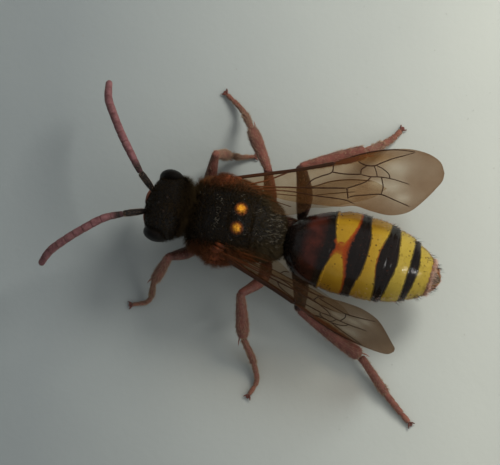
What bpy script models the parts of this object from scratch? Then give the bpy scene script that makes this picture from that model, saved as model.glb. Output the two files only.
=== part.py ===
"""A life-size female nomad bee, genus Nomada, standing with her wings half spread.

Lengths are in millimetres and angles in degrees.  One empty carries every piece and scales
them to metres.  +Z is up, the head points to -Y, and the bee's right side is -X.  Places are
given from the spot on the floor under the scutellum, until settle() moves the whole bee so
that the origin is the middle of the floor under its box.
"""

from math import cos, exp, pi, radians, sin

import bmesh
import bpy
from mathutils import Euler, Vector

MM = 0.001

# Driving dimensions
GAP = 0.05  # between neighbouring pieces
SHEET = 0.5  # thickness of a wing, sturdier than in life
FINE_RADIUS = 0.25  # of the slimmest feeler and foot, also sturdier than in life
OVAL_SIDES = 24  # corners of a ring of the head and the thorax
RING_STEPS = 24  # corners of a ring of the abdomen
TUBE_ROUNDNESS = 2  # bevel resolution of legs and feelers: eight sides
TIP_LENGTH = 0.12  # of the rounding at the end of a foot or a feeler
TIP_TAPER = 0.6
BALL_SEGMENTS = (16, 10)
WELD = 0.0001

# Head, given in its own frame: rings are (height, half width, front, back)
HEAD_CENTRE = (-0.02, -2.71, 2.30)
HEAD_TURN = -6.0  # towards the bee's right
HEAD_RINGS = (
    (1.14, 0.42, -0.20, 0.34),  # crown
    (1.04, 0.84, -0.44, 0.55),
    (0.78, 1.13, -0.64, 0.72),
    (0.38, 1.29, -0.77, 0.80),
    (-0.05, 1.30, -0.84, 0.76),  # widest, at the cheeks
    (-0.45, 1.17, -0.87, 0.64),
    (-0.80, 0.93, -0.86, 0.46),
    (-1.05, 0.62, -0.80, 0.24),
    (-1.14, 0.36, -0.70, 0.06),  # lower edge of the face
)
EYE_CENTRE = (1.07, -0.16, 0.18)
EYE_RADII = (0.33, 0.50, 0.80)
EYE_LEAN = 9.0  # the eyes come closer together downwards
JAW = ((0.58, -0.40, -0.88), (0.52, -0.66, -1.16), (0.14, -0.80, -1.22))
JAW_RADII = (0.30, 0.26, 0.17)

# Thorax: rings are (place along Y, half width, bottom, top)
THORAX_RINGS = (
    (-1.80, 0.84, 1.78, 2.92),  # neck
    (-1.68, 1.10, 1.45, 3.18),
    (-1.40, 1.30, 1.20, 3.48),
    (-0.95, 1.44, 1.10, 3.72),
    (-0.30, 1.50, 1.05, 3.86),  # widest, at the wing bases
    (0.40, 1.41, 1.08, 3.80),
    (0.95, 1.15, 1.18, 3.52),
    (1.40, 0.97, 1.33, 3.12),
    (1.70, 0.76, 1.52, 2.82),
    (1.83, 0.40, 1.80, 2.52),  # waist
)
PRONOTUM_END = -1.22
PROPODEUM_START = 0.88
SCUTELLUM_CENTRE = (0.0, 0.08, 3.52)
SCUTELLUM_RADII = (0.80, 0.44, 0.46)
TEGULA_CENTRES = {"right": (-1.34, -0.70, 3.06), "left": (1.52, -0.60, 2.97)}
TEGULA_RADII = (0.34, 0.49, 0.20)
TEGULA_SLOPE = 34.0

# The body is bent at the waist, which lies to the left of the line from the head to the tip
BEND = 0.24
BEND_CENTRE = 2.40
BEND_LENGTH = 1.45

# Abdomen, along its own axis from a point under the second band
ABDOMEN_CENTRE = (0.27, 3.99, 2.02)
ABDOMEN_TURN = -5.8  # towards the bee's left
ABDOMEN_DROOP = 5.7
ABDOMEN_HALF_WIDTH = 1.63
ABDOMEN_FLATNESS = 0.78  # height as a share of width
ABDOMEN_WIDEST = 0.40
ABDOMEN_FRONT = -2.12
ABDOMEN_TIP = 3.93
FRONT_REACH = 2.60  # from the widest place to where the outline would close
REAR_REACH = 3.60
FRONT_FULLNESS = 1.8  # how long the outline stays wide
REAR_FULLNESS = 2.4
SEGMENT_EDGES = (ABDOMEN_FRONT, -0.45, 0.80, 1.92, 2.85, 3.55, ABDOMEN_TIP)
SEGMENT_TUCK = 0.07  # each segment starts this much slimmer, under the one before
TUCK_LENGTH = 0.14
SEGMENT_RINGS = 4

# Wings: (place of the base, heading, pitch down, roll).  Outlines run from the base along the
# front edge to the tip and back, as (distance along the wing, distance towards the rear edge).
WING_PLACES = {
    "right": ((-1.34, -0.37, 3.15), 103.5, 2.0, 21.0),
    "left": ((1.42, -0.68, 3.38), 72.6, 12.0, 68.0),
}
FOREWING_OUTLINE = (
    (0.05, -0.12),
    (1.70, -0.42),
    (3.80, -0.72),
    (5.40, -1.20),
    (6.30, -1.20),
    (7.20, -0.98),
    (7.70, -0.58),
    (7.90, 0.00),
    (7.72, 0.42),
    (7.35, 0.82),
    (6.85, 1.25),
    (6.35, 1.48),
    (5.80, 1.54),
    (5.20, 1.40),
    (4.40, 1.12),  # where the hindwing hooks on
    (3.30, 1.05),
    (2.00, 0.75),
    (0.90, 0.38),
    (0.05, 0.14),
)
HINDWING_OUTLINE = (
    (0.45, 0.05),
    (1.60, -0.22),
    (3.20, -0.42),
    (4.40, -0.34),
    (5.40, -0.02),
    (5.85, 0.32),
    (5.40, 0.62),
    (4.40, 0.78),
    (3.30, 0.92),
    (2.40, 1.22),
    (1.70, 1.24),
    (1.00, 0.80),
    (0.45, 0.35),
)

# Feelers: joints from the face to the tip
FEELERS = {
    "right": (
        (-0.46, -3.30, 2.62),
        (-1.08, -3.98, 2.98),  # elbow
        (-1.70, -4.46, 3.00),
        (-2.36, -4.95, 2.88),
        (-3.07, -5.40, 2.62),
        (-3.70, -5.74, 2.28),
        (-4.42, -5.86, 1.90),
    ),
    "left": (
        (0.24, -3.36, 2.62),
        (0.59, -4.32, 2.98),
        (0.86, -4.95, 3.00),
        (1.39, -5.66, 2.88),
        (1.96, -6.32, 2.62),
        (2.49, -6.83, 2.28),
        (3.00, -7.08, 1.90),
    ),
}

# Legs: hip, trochanter, mid thigh, knee, ankle, then the bends of the foot out to the claws.
# The right hind leg stands high under its wing, and the left one is stretched out almost flat.
LEGS = {
    "fore_right": (
        (-0.34, -1.10, 1.60),
        (-0.62, -1.42, 0.92),
        (-1.48, -1.38, 1.52),
        (-2.40, -1.34, 2.02),
        (-2.62, -0.87, 0.70),
        (-2.69, -0.38, 0.32),
        (-2.82, 0.08, 0.20),
    ),
    "fore_left": (
        (0.42, -1.02, 1.55),
        (1.02, -1.18, 0.95),
        (1.46, -1.76, 1.44),
        (1.76, -2.34, 1.85),
        (2.68, -2.74, 0.80),
        (3.44, -2.86, 0.32),
        (3.66, -3.42, 0.20),
    ),
    "mid_right": (
        (-0.34, 0.52, 1.55),
        (-0.50, 1.16, 0.80),
        (-1.36, 0.98, 1.60),
        (-2.22, 0.72, 2.25),
        (-3.75, -0.22, 1.20),
        (-4.48, -0.73, 0.42),
        (-5.00, -1.44, 0.20),
    ),
    "mid_left": (
        (0.34, 0.55, 1.55),
        (0.52, 1.22, 0.80),
        (1.82, 1.32, 1.42),
        (2.62, 0.60, 1.75),
        (4.19, 1.01, 0.90),
        (5.03, 1.59, 0.42),
        (5.63, 1.81, 0.26),
        (6.23, 1.61, 0.20),
    ),
    "hind_right": (
        (-0.36, 1.30, 1.75),
        (-0.50, 2.32, 0.90),
        (-1.52, 2.28, 1.56),
        (-2.55, 1.94, 2.12),
        (-3.68, 4.28, 1.33),
        (-4.20, 4.84, 0.46),
        (-4.50, 5.14, 0.28),
        (-4.92, 5.42, 0.20),
    ),
    "hind_left": (
        (0.36, 1.30, 1.75),
        (0.55, 2.32, 0.84),
        (1.62, 2.74, 0.92),
        (2.71, 2.91, 0.86),
        (3.97, 5.53, 0.48),
        (5.45, 7.06, 0.28),
        (6.11, 7.86, 0.20),
    ),
}
COXA_RADIUS = 0.31
THIGH_RADIUS = {"fore": 0.27, "mid": 0.28, "hind": 0.30}
SHIN_RADIUS = {"fore": 0.26, "mid": 0.28, "hind": 0.31}
SHIN_WIDEST = 0.75  # share of the shin's length

# Finishes: (red, green, blue) on screen, roughness
BLACK = ((24, 21, 18), 0.55)
EYE_BLACK = ((30, 26, 24), 0.25)
JAW_RED = ((120, 50, 28), 0.35)
FEELER_RED = ((128, 68, 66), 0.55)
SPOT_YELLOW = ((205, 140, 35), 0.45)
WING_ROOT_BROWN = ((150, 82, 40), 0.40)
BAND_COLOURS = (
    ((82, 36, 28), 0.32),
    ((205, 160, 42), 0.32),
    ((204, 168, 45), 0.32),
    ((202, 172, 50), 0.32),
    ((200, 178, 56), 0.32),
    ((120, 92, 76), 0.50),
)
LEG_RED = ((112, 46, 38), 0.42)
THIGH_BROWN = ((64, 34, 28), 0.42)
WING_SMOKE = ((138, 112, 88), 0.30)


def linear(channel):
    """A screen colour channel from 0 to 255 as linear light."""
    share = channel / 255
    return share / 12.92 if share <= 0.04045 else ((share + 0.055) / 1.055) ** 2.4


def clear_scene():
    for ob in list(bpy.data.objects):
        bpy.data.objects.remove(ob)


def add_collection(name):
    collection = bpy.data.collections.new(name)
    bpy.context.scene.collection.children.link(collection)
    return collection


def add_empty(name, parent=None, location=(0, 0, 0), turn=0.0):
    empty = bpy.data.objects.new(name, None)
    PIECES.objects.link(empty)
    empty.parent = parent
    empty.location = location
    empty.rotation_euler = (0, 0, radians(turn))
    return empty


def finish_material(name, finish):
    colour, roughness = finish
    material = bpy.data.materials.new(name)
    material.use_nodes = True
    shader = material.node_tree.nodes["Principled BSDF"]
    shader.inputs["Base Color"].default_value = (*(linear(c) for c in colour), 1.0)
    shader.inputs["Roughness"].default_value = roughness
    shader.inputs["Metallic"].default_value = 0.0
    return material


def add_mesh(name, form, parent, collection):
    mesh = bpy.data.meshes.new(name)
    bmesh.ops.recalc_face_normals(form, faces=form.faces[:])
    form.to_mesh(mesh)
    form.free()
    ob = bpy.data.objects.new(name, mesh)
    collection.objects.link(ob)
    ob.parent = parent
    return ob


def add_piece(name, form, finish, parent):
    """A visible piece of the bee, with its own material."""
    ob = add_mesh(name, form, parent, PIECES)
    ob.data.materials.append(finish_material(name, finish))
    ob.data.shade_smooth()
    return ob


def add_cutter(name, form, parent):
    ob = add_mesh(name, form, parent, CUTTERS)
    ob.hide_render = True
    ob.display_type = "WIRE"
    return ob


def trim(piece, *cutters):
    """Take the cutters' shapes out of the piece."""
    for cutter in cutters:
        cut = piece.modifiers.new(cutter.name, "BOOLEAN")
        cut.operation = "DIFFERENCE"
        cut.solver = "EXACT"
        cut.object = cutter


def cut_flat(form, point, normal):
    """Keep what lies behind the plane, and close the cut."""
    everything = form.verts[:] + form.edges[:] + form.faces[:]
    bmesh.ops.bisect_plane(
        form, geom=everything, dist=WELD, plane_co=point, plane_no=normal, clear_outer=True
    )
    rim = [edge for edge in form.edges if edge.is_boundary]
    bmesh.ops.contextual_create(form, geom=rim)


def lofted(rings, upright, grow=0.0):
    """A closed body through oval rings of (place, half width, low, high), across its axis."""
    form = bmesh.new()
    loops = []
    for number, (place, half, low, high) in enumerate(rings):
        if number in (0, len(rings) - 1):
            beyond = 1 if (place > 0) else -1
            place += beyond * grow
        loop = []
        for corner in range(OVAL_SIDES):
            angle = 2 * pi * corner / OVAL_SIDES
            across = (half + grow) * cos(angle)
            level = (low + high) / 2 + ((high - low) / 2 + grow) * sin(angle)
            spot = (across, level, place) if upright else (across, place, level)
            loop.append(form.verts.new(spot))
        loops.append(loop)
    for near, far in zip(loops, loops[1:]):
        for corner in range(OVAL_SIDES):
            form.faces.new((near[corner - 1], near[corner], far[corner], far[corner - 1]))
    form.faces.new(loops[0])
    form.faces.new(loops[-1])
    return form


def ball(radii, grow=0.0):
    """An oval ball about the origin."""
    form = bmesh.new()
    around, down = BALL_SEGMENTS
    bmesh.ops.create_uvsphere(form, u_segments=around, v_segments=down, radius=1.0)
    bmesh.ops.scale(form, vec=[radius + grow for radius in radii], verts=form.verts)
    return form


def from_curve(curve):
    """The closed mesh of a curve whose caps are filled, as a form to cut."""
    guide = bpy.data.objects.new("guide", curve)
    bpy.context.scene.collection.objects.link(guide)
    evaluated = guide.evaluated_get(bpy.context.evaluated_depsgraph_get())
    mesh = bpy.data.meshes.new_from_object(evaluated)
    form = bmesh.new()
    form.from_mesh(mesh)
    bmesh.ops.remove_doubles(form, verts=form.verts, dist=WELD)
    bpy.data.objects.remove(guide)
    bpy.data.meshes.remove(mesh)
    bpy.data.curves.remove(curve)
    return form


def tube(knots):
    """A round tube through knots of (point, radius), closed at both ends."""
    curve = bpy.data.curves.new("tube", "CURVE")
    curve.dimensions = "3D"
    curve.bevel_depth = 1.0
    curve.bevel_resolution = TUBE_ROUNDNESS
    curve.use_fill_caps = True
    spline = curve.splines.new("POLY")
    spline.points.add(len(knots) - 1)
    for knot, (point, radius) in zip(spline.points, knots):
        knot.co = (*point, 1.0)
        knot.radius = radius
    return from_curve(curve)


def sheet(outline, side):
    """A flat plate of a wing's thickness, with its rear edge to the wing's inner side."""
    curve = bpy.data.curves.new("sheet", "CURVE")
    curve.dimensions = "2D"
    curve.fill_mode = "BOTH"
    curve.extrude = SHEET / 2
    curve.resolution_u = 2
    spline = curve.splines.new("BEZIER")
    spline.bezier_points.add(len(outline) - 1)
    spline.use_cyclic_u = True
    for knot, (along, rearward) in zip(spline.bezier_points, outline):
        knot.co = (along, side * rearward, 0.0)
        knot.handle_left_type = "AUTO"
        knot.handle_right_type = "AUTO"
    return from_curve(curve)


def add_limb(parts, finishes, parent):
    """Pieces end to end along one limb, each of (name, knots), parted by thin mitre cuts.

    Neighbouring parts share a joint, so the last knot of one is the first of the next.
    """
    made = {}
    for number, (name, knots) in enumerate(parts):
        points = [Vector(point) for point, radius in knots]
        first_way = (points[1] - points[0]).normalized()
        last_way = (points[-1] - points[-2]).normalized()
        cuts = []
        if number > 0:
            before = Vector(parts[number - 1][1][-2][0])
            away = (before - points[0]).normalized() - first_way
            cuts.append((points[0].copy(), away.normalized()))
            points[0] -= first_way * knots[0][1]
        if number < len(parts) - 1:
            after = Vector(parts[number + 1][1][1][0])
            away = (after - points[-1]).normalized() + last_way
            cuts.append((points[-1].copy(), away.normalized()))
            points[-1] += last_way * knots[-1][1]
        radii = [radius for point, radius in knots]
        if number == len(parts) - 1:
            points.append(points[-1] + last_way * TIP_LENGTH)
            radii.append(radii[-1] * TIP_TAPER)
        form = tube(list(zip(points, radii)))
        for joint, normal in cuts:
            cut_flat(form, joint - normal * GAP / 2, normal)
        if min(vert.co.z for vert in form.verts) < 0:
            cut_flat(form, (0, 0, 0), (0, 0, -1))
        made[name] = add_piece(name, form, finishes[number], parent)
    return made


def between(start, end, share):
    return Vector(start).lerp(Vector(end), share)


def build_head(bee):
    """The capsule with its two eyes and jaws."""
    frame = add_empty("head_frame", bee, HEAD_CENTRE, HEAD_TURN)
    head = add_piece("head", lofted(HEAD_RINGS, upright=True), BLACK, frame)
    guide = add_cutter("head_guide", lofted(HEAD_RINGS, upright=True, grow=GAP), frame)
    for side, name in ((-1, "right"), (1, "left")):
        eye = add_piece(f"eye_{name}", ball(EYE_RADII), EYE_BLACK, frame)
        socket = add_cutter(f"eye_socket_{name}", ball(EYE_RADII, grow=GAP), frame)
        for ob in (eye, socket):
            ob.location = (side * EYE_CENTRE[0], EYE_CENTRE[1], EYE_CENTRE[2])
            ob.rotation_euler = (0, radians(side * EYE_LEAN), 0)
        trim(head, socket)
        knots = [((side * x, y, z), radius) for (x, y, z), radius in zip(JAW, JAW_RADII)]
        jaw = add_piece(f"mandible_{name}", tube(knots), JAW_RED, frame)
        trim(jaw, guide)
    return guide


def build_feelers(bee, head_guide):
    for side, joints in FEELERS.items():
        knots = [(joint, FINE_RADIUS) for joint in joints]
        parts = ((f"scape_{side}", knots[:2]), (f"flagellum_{side}", knots[1:]))
        made = add_limb(parts, (BLACK, FEELER_RED), bee)
        trim(made[f"scape_{side}"], head_guide)


def bend(place):
    """How far to the left of its straight line the body lies, at a place along Y."""
    return BEND * exp(-(((place - BEND_CENTRE) / BEND_LENGTH) ** 2))


def thorax_form(grow=0.0):
    """The whole thorax, bent with the body."""
    form = lofted(THORAX_RINGS, upright=False, grow=grow)
    for vert in form.verts:
        vert.co.x += bend(vert.co.y)
    return form


def build_thorax(bee):
    """Three lengths of one body, with the scutellum and the two tegulae set into it."""
    guide = add_cutter("thorax_guide", thorax_form(grow=GAP), bee)
    lengths = {
        "pronotum": (None, PRONOTUM_END),
        "mesothorax": (PRONOTUM_END, PROPODEUM_START),
        "propodeum": (PROPODEUM_START, None),
    }
    made = {}
    for name, (start, end) in lengths.items():
        form = thorax_form()
        if start is not None:
            cut_flat(form, (0, start + GAP / 2, 0), (0, -1, 0))
        if end is not None:
            cut_flat(form, (0, end - GAP / 2, 0), (0, 1, 0))
        made[name] = add_piece(name, form, BLACK, bee)
    scutellum = add_piece("scutellum", ball(SCUTELLUM_RADII), SPOT_YELLOW, bee)
    pocket = add_cutter("scutellum_pocket", ball(SCUTELLUM_RADII, grow=GAP), bee)
    for ob in (scutellum, pocket):
        ob.location = SCUTELLUM_CENTRE
    trim(made["mesothorax"], pocket)
    guides = {"thorax": guide}
    for side, name in ((-1, "right"), (1, "left")):
        tegula = add_piece(f"tegula_{name}", ball(TEGULA_RADII), WING_ROOT_BROWN, bee)
        guides[name] = add_cutter(f"tegula_pocket_{name}", ball(TEGULA_RADII, grow=GAP), bee)
        for ob in (tegula, guides[name]):
            ob.location = TEGULA_CENTRES[name]
            ob.rotation_euler = (0, radians(side * TEGULA_SLOPE), 0)
        trim(made["mesothorax"], guides[name])
    return guides


def abdomen_half_width(along):
    """The outline from above: blunt at the waist, widest on the second segment, then tapering."""
    if along < ABDOMEN_WIDEST:
        share = (ABDOMEN_WIDEST - along) / FRONT_REACH
        return ABDOMEN_HALF_WIDTH * (1 - share**FRONT_FULLNESS) ** 0.45
    share = (along - ABDOMEN_WIDEST) / REAR_REACH
    return ABDOMEN_HALF_WIDTH * (1 - share**REAR_FULLNESS) ** 0.64


def build_abdomen(bee):
    """Six turned segments, each starting a little under the rear edge of the one before."""
    for number, (start, end) in enumerate(zip(SEGMENT_EDGES, SEGMENT_EDGES[1:])):
        start += GAP / 2
        end -= GAP / 2
        step = (end - start - TUCK_LENGTH) / SEGMENT_RINGS
        places = [start + TUCK_LENGTH + step * ring for ring in range(SEGMENT_RINGS + 1)]
        profile = [(0.0, start), (abdomen_half_width(start) - SEGMENT_TUCK, start)]
        profile += [(abdomen_half_width(place), place) for place in places]
        profile.append((0.0, end))
        form = bmesh.new()
        verts = [form.verts.new((radius, 0.0, place)) for radius, place in reversed(profile)]
        for near, far in zip(verts, verts[1:]):
            form.edges.new((near, far))
        segment = add_piece(f"abdomen_{number + 1}", form, BAND_COLOURS[number], bee)
        x, y, z = ABDOMEN_CENTRE
        segment.location = (x + bend(y + (start + end) / 2), y, z)
        tilt = radians(-90 - ABDOMEN_DROOP)
        segment.rotation_euler = (tilt, 0, radians(ABDOMEN_TURN))
        segment.scale = (1.0, ABDOMEN_FLATNESS, 1.0)
        turn = segment.modifiers.new("turn", "SCREW")
        turn.axis = "Z"
        turn.angle = 2 * pi
        turn.steps = turn.render_steps = RING_STEPS
        turn.use_merge_vertices = True
        turn.merge_threshold = WELD


def build_wings(bee, guides):
    """Two flat plates a side, the hindwing under the forewing."""
    for name, (base, heading, pitch, roll) in WING_PLACES.items():
        side = 1 if name == "left" else -1
        turn = Euler((side * radians(roll), radians(pitch), radians(heading)))
        under = turn.to_matrix() @ Vector((0, 0, -SHEET - GAP))
        fore = add_piece(f"forewing_{name}", sheet(FOREWING_OUTLINE, side), WING_SMOKE, bee)
        hind = add_piece(f"hindwing_{name}", sheet(HINDWING_OUTLINE, side), WING_SMOKE, bee)
        for ob, shift in ((fore, Vector()), (hind, under)):
            ob.location = Vector(base) + shift
            ob.rotation_euler = turn
            trim(ob, guides["thorax"], guides[name])


def build_legs(bee, thorax_guide):
    """Coxa, femur, tibia and tarsus of each leg, with its foot cut flat on the floor."""
    for leg, (hip, trochanter, thigh, knee, ankle, *foot) in LEGS.items():
        pair = leg.split("_")[0]
        shin = between(knee, ankle, SHIN_WIDEST)
        parts = (
            (f"{leg}_coxa", ((hip, COXA_RADIUS), (trochanter, FINE_RADIUS))),
            (
                f"{leg}_femur",
                (
                    (trochanter, FINE_RADIUS),
                    (thigh, THIGH_RADIUS[pair]),
                    (knee, FINE_RADIUS),
                ),
            ),
            (
                f"{leg}_tibia",
                ((knee, FINE_RADIUS), (shin, SHIN_RADIUS[pair]), (ankle, FINE_RADIUS)),
            ),
            (f"{leg}_tarsus", tuple((spot, FINE_RADIUS) for spot in (ankle, *foot))),
        )
        made = add_limb(parts, (THIGH_BROWN, THIGH_BROWN, LEG_RED, LEG_RED), bee)
        trim(made[f"{leg}_coxa"], thorax_guide)


def settle(bee):
    """Move the bee so that the origin is the middle of the floor under its box."""
    depsgraph = bpy.context.evaluated_depsgraph_get()
    spots = []
    for ob in PIECES.objects:
        if ob.type == "MESH":
            evaluated = ob.evaluated_get(depsgraph)
            mesh = evaluated.to_mesh()
            spots += [evaluated.matrix_world @ vert.co for vert in mesh.vertices]
            evaluated.to_mesh_clear()
    for axis in (0, 1):
        line = [spot[axis] for spot in spots]
        bee.location[axis] -= (min(line) + max(line)) / 2


clear_scene()
PIECES = add_collection("bee")
CUTTERS = add_collection("cutters")
root = add_empty("bee_frame")
root.scale = (MM, MM, MM)
build_feelers(root, build_head(root))
thorax_guides = build_thorax(root)
build_abdomen(root)
build_wings(root, thorax_guides)
build_legs(root, thorax_guides["thorax"])
settle(root)
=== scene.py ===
"""The looks of a life-size female nomad bee, in mesh code and procedural materials.

Lengths are in millimetres in the bee's own frame: the floor is z = 0, the head points to -Y and
the bee's right side is -X.  A Form turns them into metres around the CAD frame.  Angles are in
degrees.  A piece is made of rings of points, and its map, OFBake, is the plain unwrap of those
rings; or it is made of tufts of hair scattered over such rings, each with a small patch of the map.
"""

from math import cos, pi, radians, sin, tau

import bpy
import numpy as np
from mathutils import Euler, Matrix, Vector, noise


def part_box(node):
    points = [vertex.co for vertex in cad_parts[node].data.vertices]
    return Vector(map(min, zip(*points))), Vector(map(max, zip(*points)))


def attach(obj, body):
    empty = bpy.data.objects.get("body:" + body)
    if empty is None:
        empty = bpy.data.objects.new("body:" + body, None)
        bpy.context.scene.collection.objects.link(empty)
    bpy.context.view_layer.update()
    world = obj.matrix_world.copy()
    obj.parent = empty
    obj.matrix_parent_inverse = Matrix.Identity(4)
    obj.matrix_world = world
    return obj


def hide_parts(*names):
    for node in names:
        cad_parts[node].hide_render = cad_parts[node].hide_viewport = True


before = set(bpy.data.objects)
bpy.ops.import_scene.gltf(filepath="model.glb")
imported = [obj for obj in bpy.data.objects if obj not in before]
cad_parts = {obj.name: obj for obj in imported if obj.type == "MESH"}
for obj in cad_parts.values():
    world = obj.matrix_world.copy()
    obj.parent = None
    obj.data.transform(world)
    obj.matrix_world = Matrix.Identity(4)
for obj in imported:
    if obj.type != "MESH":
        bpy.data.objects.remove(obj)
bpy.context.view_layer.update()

MM = 0.001
SCUTELLUM_Y = 0.08  # where the middle of the CAD scutellum lies, which gives the frame's place
LOW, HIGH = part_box("scutellum")
ORIGIN = np.array(((LOW.x + HIGH.x) / 2, (LOW.y + HIGH.y) / 2 - SCUTELLUM_Y * MM, 0.0))
SIDES = {"right": -1, "left": 1}

# Head, in its own frame: rings are (height, half width, front, back)
HEAD_CENTRE = (-0.02, -2.71, 2.30)
HEAD_TURN = -6.0
HEAD_RINGS = (
    (1.12, 0.04, 0.04, 0.12),
    (1.10, 0.40, -0.22, 0.34),
    (0.99, 0.80, -0.44, 0.54),
    (0.74, 1.12, -0.62, 0.70),
    (0.36, 1.27, -0.74, 0.77),
    (-0.05, 1.28, -0.80, 0.74),
    (-0.43, 1.15, -0.82, 0.62),
    (-0.76, 0.90, -0.81, 0.43),
    (-0.99, 0.58, -0.75, 0.22),
    (-1.08, 0.34, -0.62, 0.02),
    (-1.10, 0.04, -0.34, -0.26),
)
EYE_CENTRE = (1.07, -0.16, 0.18)
EYE_RADII = (0.325, 0.49, 0.79)
EYE_LEAN = 9.0
SOCKETS = (0.35, 0.32)  # of the feelers: from the middle, and height

# Thorax: rings are (place along Y, half width, bottom, top)
THORAX_RINGS = (
    (-1.81, 0.46, 2.00, 2.72),
    (-1.77, 0.80, 1.80, 2.90),
    (-1.66, 1.06, 1.49, 3.14),
    (-1.39, 1.26, 1.24, 3.44),
    (-0.95, 1.40, 1.14, 3.68),
    (-0.30, 1.46, 1.09, 3.82),
    (0.40, 1.37, 1.12, 3.76),
    (0.95, 1.11, 1.22, 3.48),
    (1.40, 0.93, 1.37, 3.08),
    (1.70, 0.72, 1.56, 2.78),
    (1.82, 0.36, 1.84, 2.46),
)
TEGULA_CENTRES = {"right": (-1.34, -0.70, 3.06), "left": (1.52, -0.60, 2.97)}
TEGULA_RADII = (0.33, 0.48, 0.19)
TEGULA_SLOPE = 34.0

# The body is bent at the waist, which lies to the left of the line from the head to the tip
BEND = 0.24
BEND_CENTRE = 2.40
BEND_LENGTH = 1.45

# Abdomen, along its own axis
ABDOMEN_CENTRE = (0.27, 3.99, 2.02)
ABDOMEN_TURN = -5.8
ABDOMEN_DROOP = 5.7
ABDOMEN_HALF_WIDTH = 1.60
ABDOMEN_FLATNESS = 0.78
ABDOMEN_WIDEST = 0.40
FRONT_REACH = 2.60
REAR_REACH = 3.60
FRONT_FULLNESS = 1.8
REAR_FULLNESS = 2.4
SEGMENT_EDGES = (-2.12, -0.45, 0.80, 1.92, 2.85, 3.55, 3.93)

# Wings: (place of the base, heading, pitch down, roll)
WING_PLACES = {
    "right": ((-1.34, -0.37, 3.15), 103.5, 2.0, 21.0),
    "left": ((1.42, -0.68, 3.38), 72.6, 12.0, 68.0),
}

# Feelers: joints from the face to the tip
FEELERS = {
    "right": (
        (-0.46, -3.30, 2.62), (-1.08, -3.98, 2.98), (-1.70, -4.46, 3.00), (-2.36, -4.95, 2.88),
        (-3.07, -5.40, 2.62), (-3.70, -5.74, 2.28), (-4.42, -5.86, 1.90),
    ),
    "left": (
        (0.24, -3.36, 2.62), (0.59, -4.32, 2.98), (0.86, -4.95, 3.00), (1.39, -5.66, 2.88),
        (1.96, -6.32, 2.62), (2.49, -6.83, 2.28), (3.00, -7.08, 1.90),
    ),
}

# Legs: hip, trochanter, mid thigh, knee, ankle, then the bends of the foot
LEGS = {
    "fore_right": (
        (-0.34, -1.10, 1.60), (-0.62, -1.42, 0.92), (-1.48, -1.38, 1.52), (-2.40, -1.34, 2.02),
        (-2.62, -0.87, 0.70), (-2.69, -0.38, 0.32), (-2.82, 0.08, 0.20),
    ),
    "fore_left": (
        (0.42, -1.02, 1.55), (1.02, -1.18, 0.95), (1.46, -1.76, 1.44), (1.76, -2.34, 1.85),
        (2.68, -2.74, 0.80), (3.44, -2.86, 0.32), (3.66, -3.42, 0.20),
    ),
    "mid_right": (
        (-0.34, 0.52, 1.55), (-0.50, 1.16, 0.80), (-1.36, 0.98, 1.60), (-2.22, 0.72, 2.25),
        (-3.75, -0.22, 1.20), (-4.48, -0.73, 0.42), (-5.00, -1.44, 0.20),
    ),
    "mid_left": (
        (0.34, 0.55, 1.55), (0.52, 1.22, 0.80), (1.82, 1.32, 1.42), (2.62, 0.60, 1.75),
        (4.19, 1.01, 0.90), (5.03, 1.59, 0.42), (5.63, 1.81, 0.26), (6.23, 1.61, 0.20),
    ),
    "hind_right": (
        (-0.36, 1.30, 1.75), (-0.50, 2.32, 0.90), (-1.52, 2.28, 1.56), (-2.55, 1.94, 2.12),
        (-3.68, 4.28, 1.33), (-4.20, 4.84, 0.46), (-4.50, 5.14, 0.28), (-4.92, 5.42, 0.20),
    ),
    "hind_left": (
        (0.36, 1.30, 1.75), (0.55, 2.32, 0.84), (1.62, 2.74, 0.92), (2.71, 2.91, 0.86),
        (3.97, 5.53, 0.48), (5.45, 7.06, 0.28), (6.11, 7.86, 0.20),
    ),
}
FOOT_DROP = 0.11  # how much lower than the sturdy solids the fine feet lie


# ---------------------------------------------------------------- curves and rings

WHOLE = (0.0, 0.0, 1.0, 1.0)  # all of a piece's map
PIT_WIDTH = 0.42  # of the space between two pits


def smooth(knots, at):
    """Values at some places, on a smooth curve through knots of (place, value, ...)."""
    knots = np.asarray(knots, float)
    places, values = knots[:, 0], knots[:, 1:]
    slopes = np.gradient(values, places, axis=0)
    at = np.clip(at, places[0], places[-1])
    cell = np.clip(np.searchsorted(places, at, side="right") - 1, 0, len(places) - 2)
    step = (places[cell + 1] - places[cell])[..., None]
    share = (at - places[cell])[..., None] / step
    start, end = values[cell], values[cell + 1]
    bulge = slopes[cell] * (1 - share) - slopes[cell + 1] * share
    return start + (end - start) * share**2 * (3 - 2 * share) + step * share * (1 - share) * bulge


def route(points, steps):
    """Points spread evenly along a smooth line through the given ones."""
    points = np.asarray(points, float)
    runs = np.linalg.norm(np.diff(points, axis=0), axis=1)
    places = np.concatenate(([0.0], np.cumsum(runs)))
    fine = smooth(np.column_stack((places, points)), np.linspace(0, places[-1], 24 * len(points)))
    lengths = np.linalg.norm(np.diff(fine, axis=0), axis=1)
    reached = np.concatenate(([0.0], np.cumsum(lengths)))
    even = np.linspace(0, reached[-1], steps)
    return np.column_stack([np.interp(even, reached, column) for column in fine.T])


def points_at(line, shares):
    """The points at some shares of the way along an evenly spread line."""
    places = np.linspace(0, 1, len(line))
    return np.column_stack([np.interp(shares, places, column) for column in line.T])


def unit(vectors):
    return vectors / np.maximum(np.linalg.norm(vectors, axis=-1, keepdims=True), 1e-12)


def ease(value, start, end):
    """0 before start, 1 after end, and a smooth rise between."""
    share = np.clip((value - start) / (end - start), 0.0, 1.0)
    return share * share * (3 - 2 * share)


def hill(distance, width):
    """1 at no distance, falling off smoothly over the width."""
    return np.exp(-((distance / width) ** 2))


def mound(first, second):
    """An oval hill; the distances from its middle are counted in its half widths."""
    return hill(np.hypot(first, second), 1.0)


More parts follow.
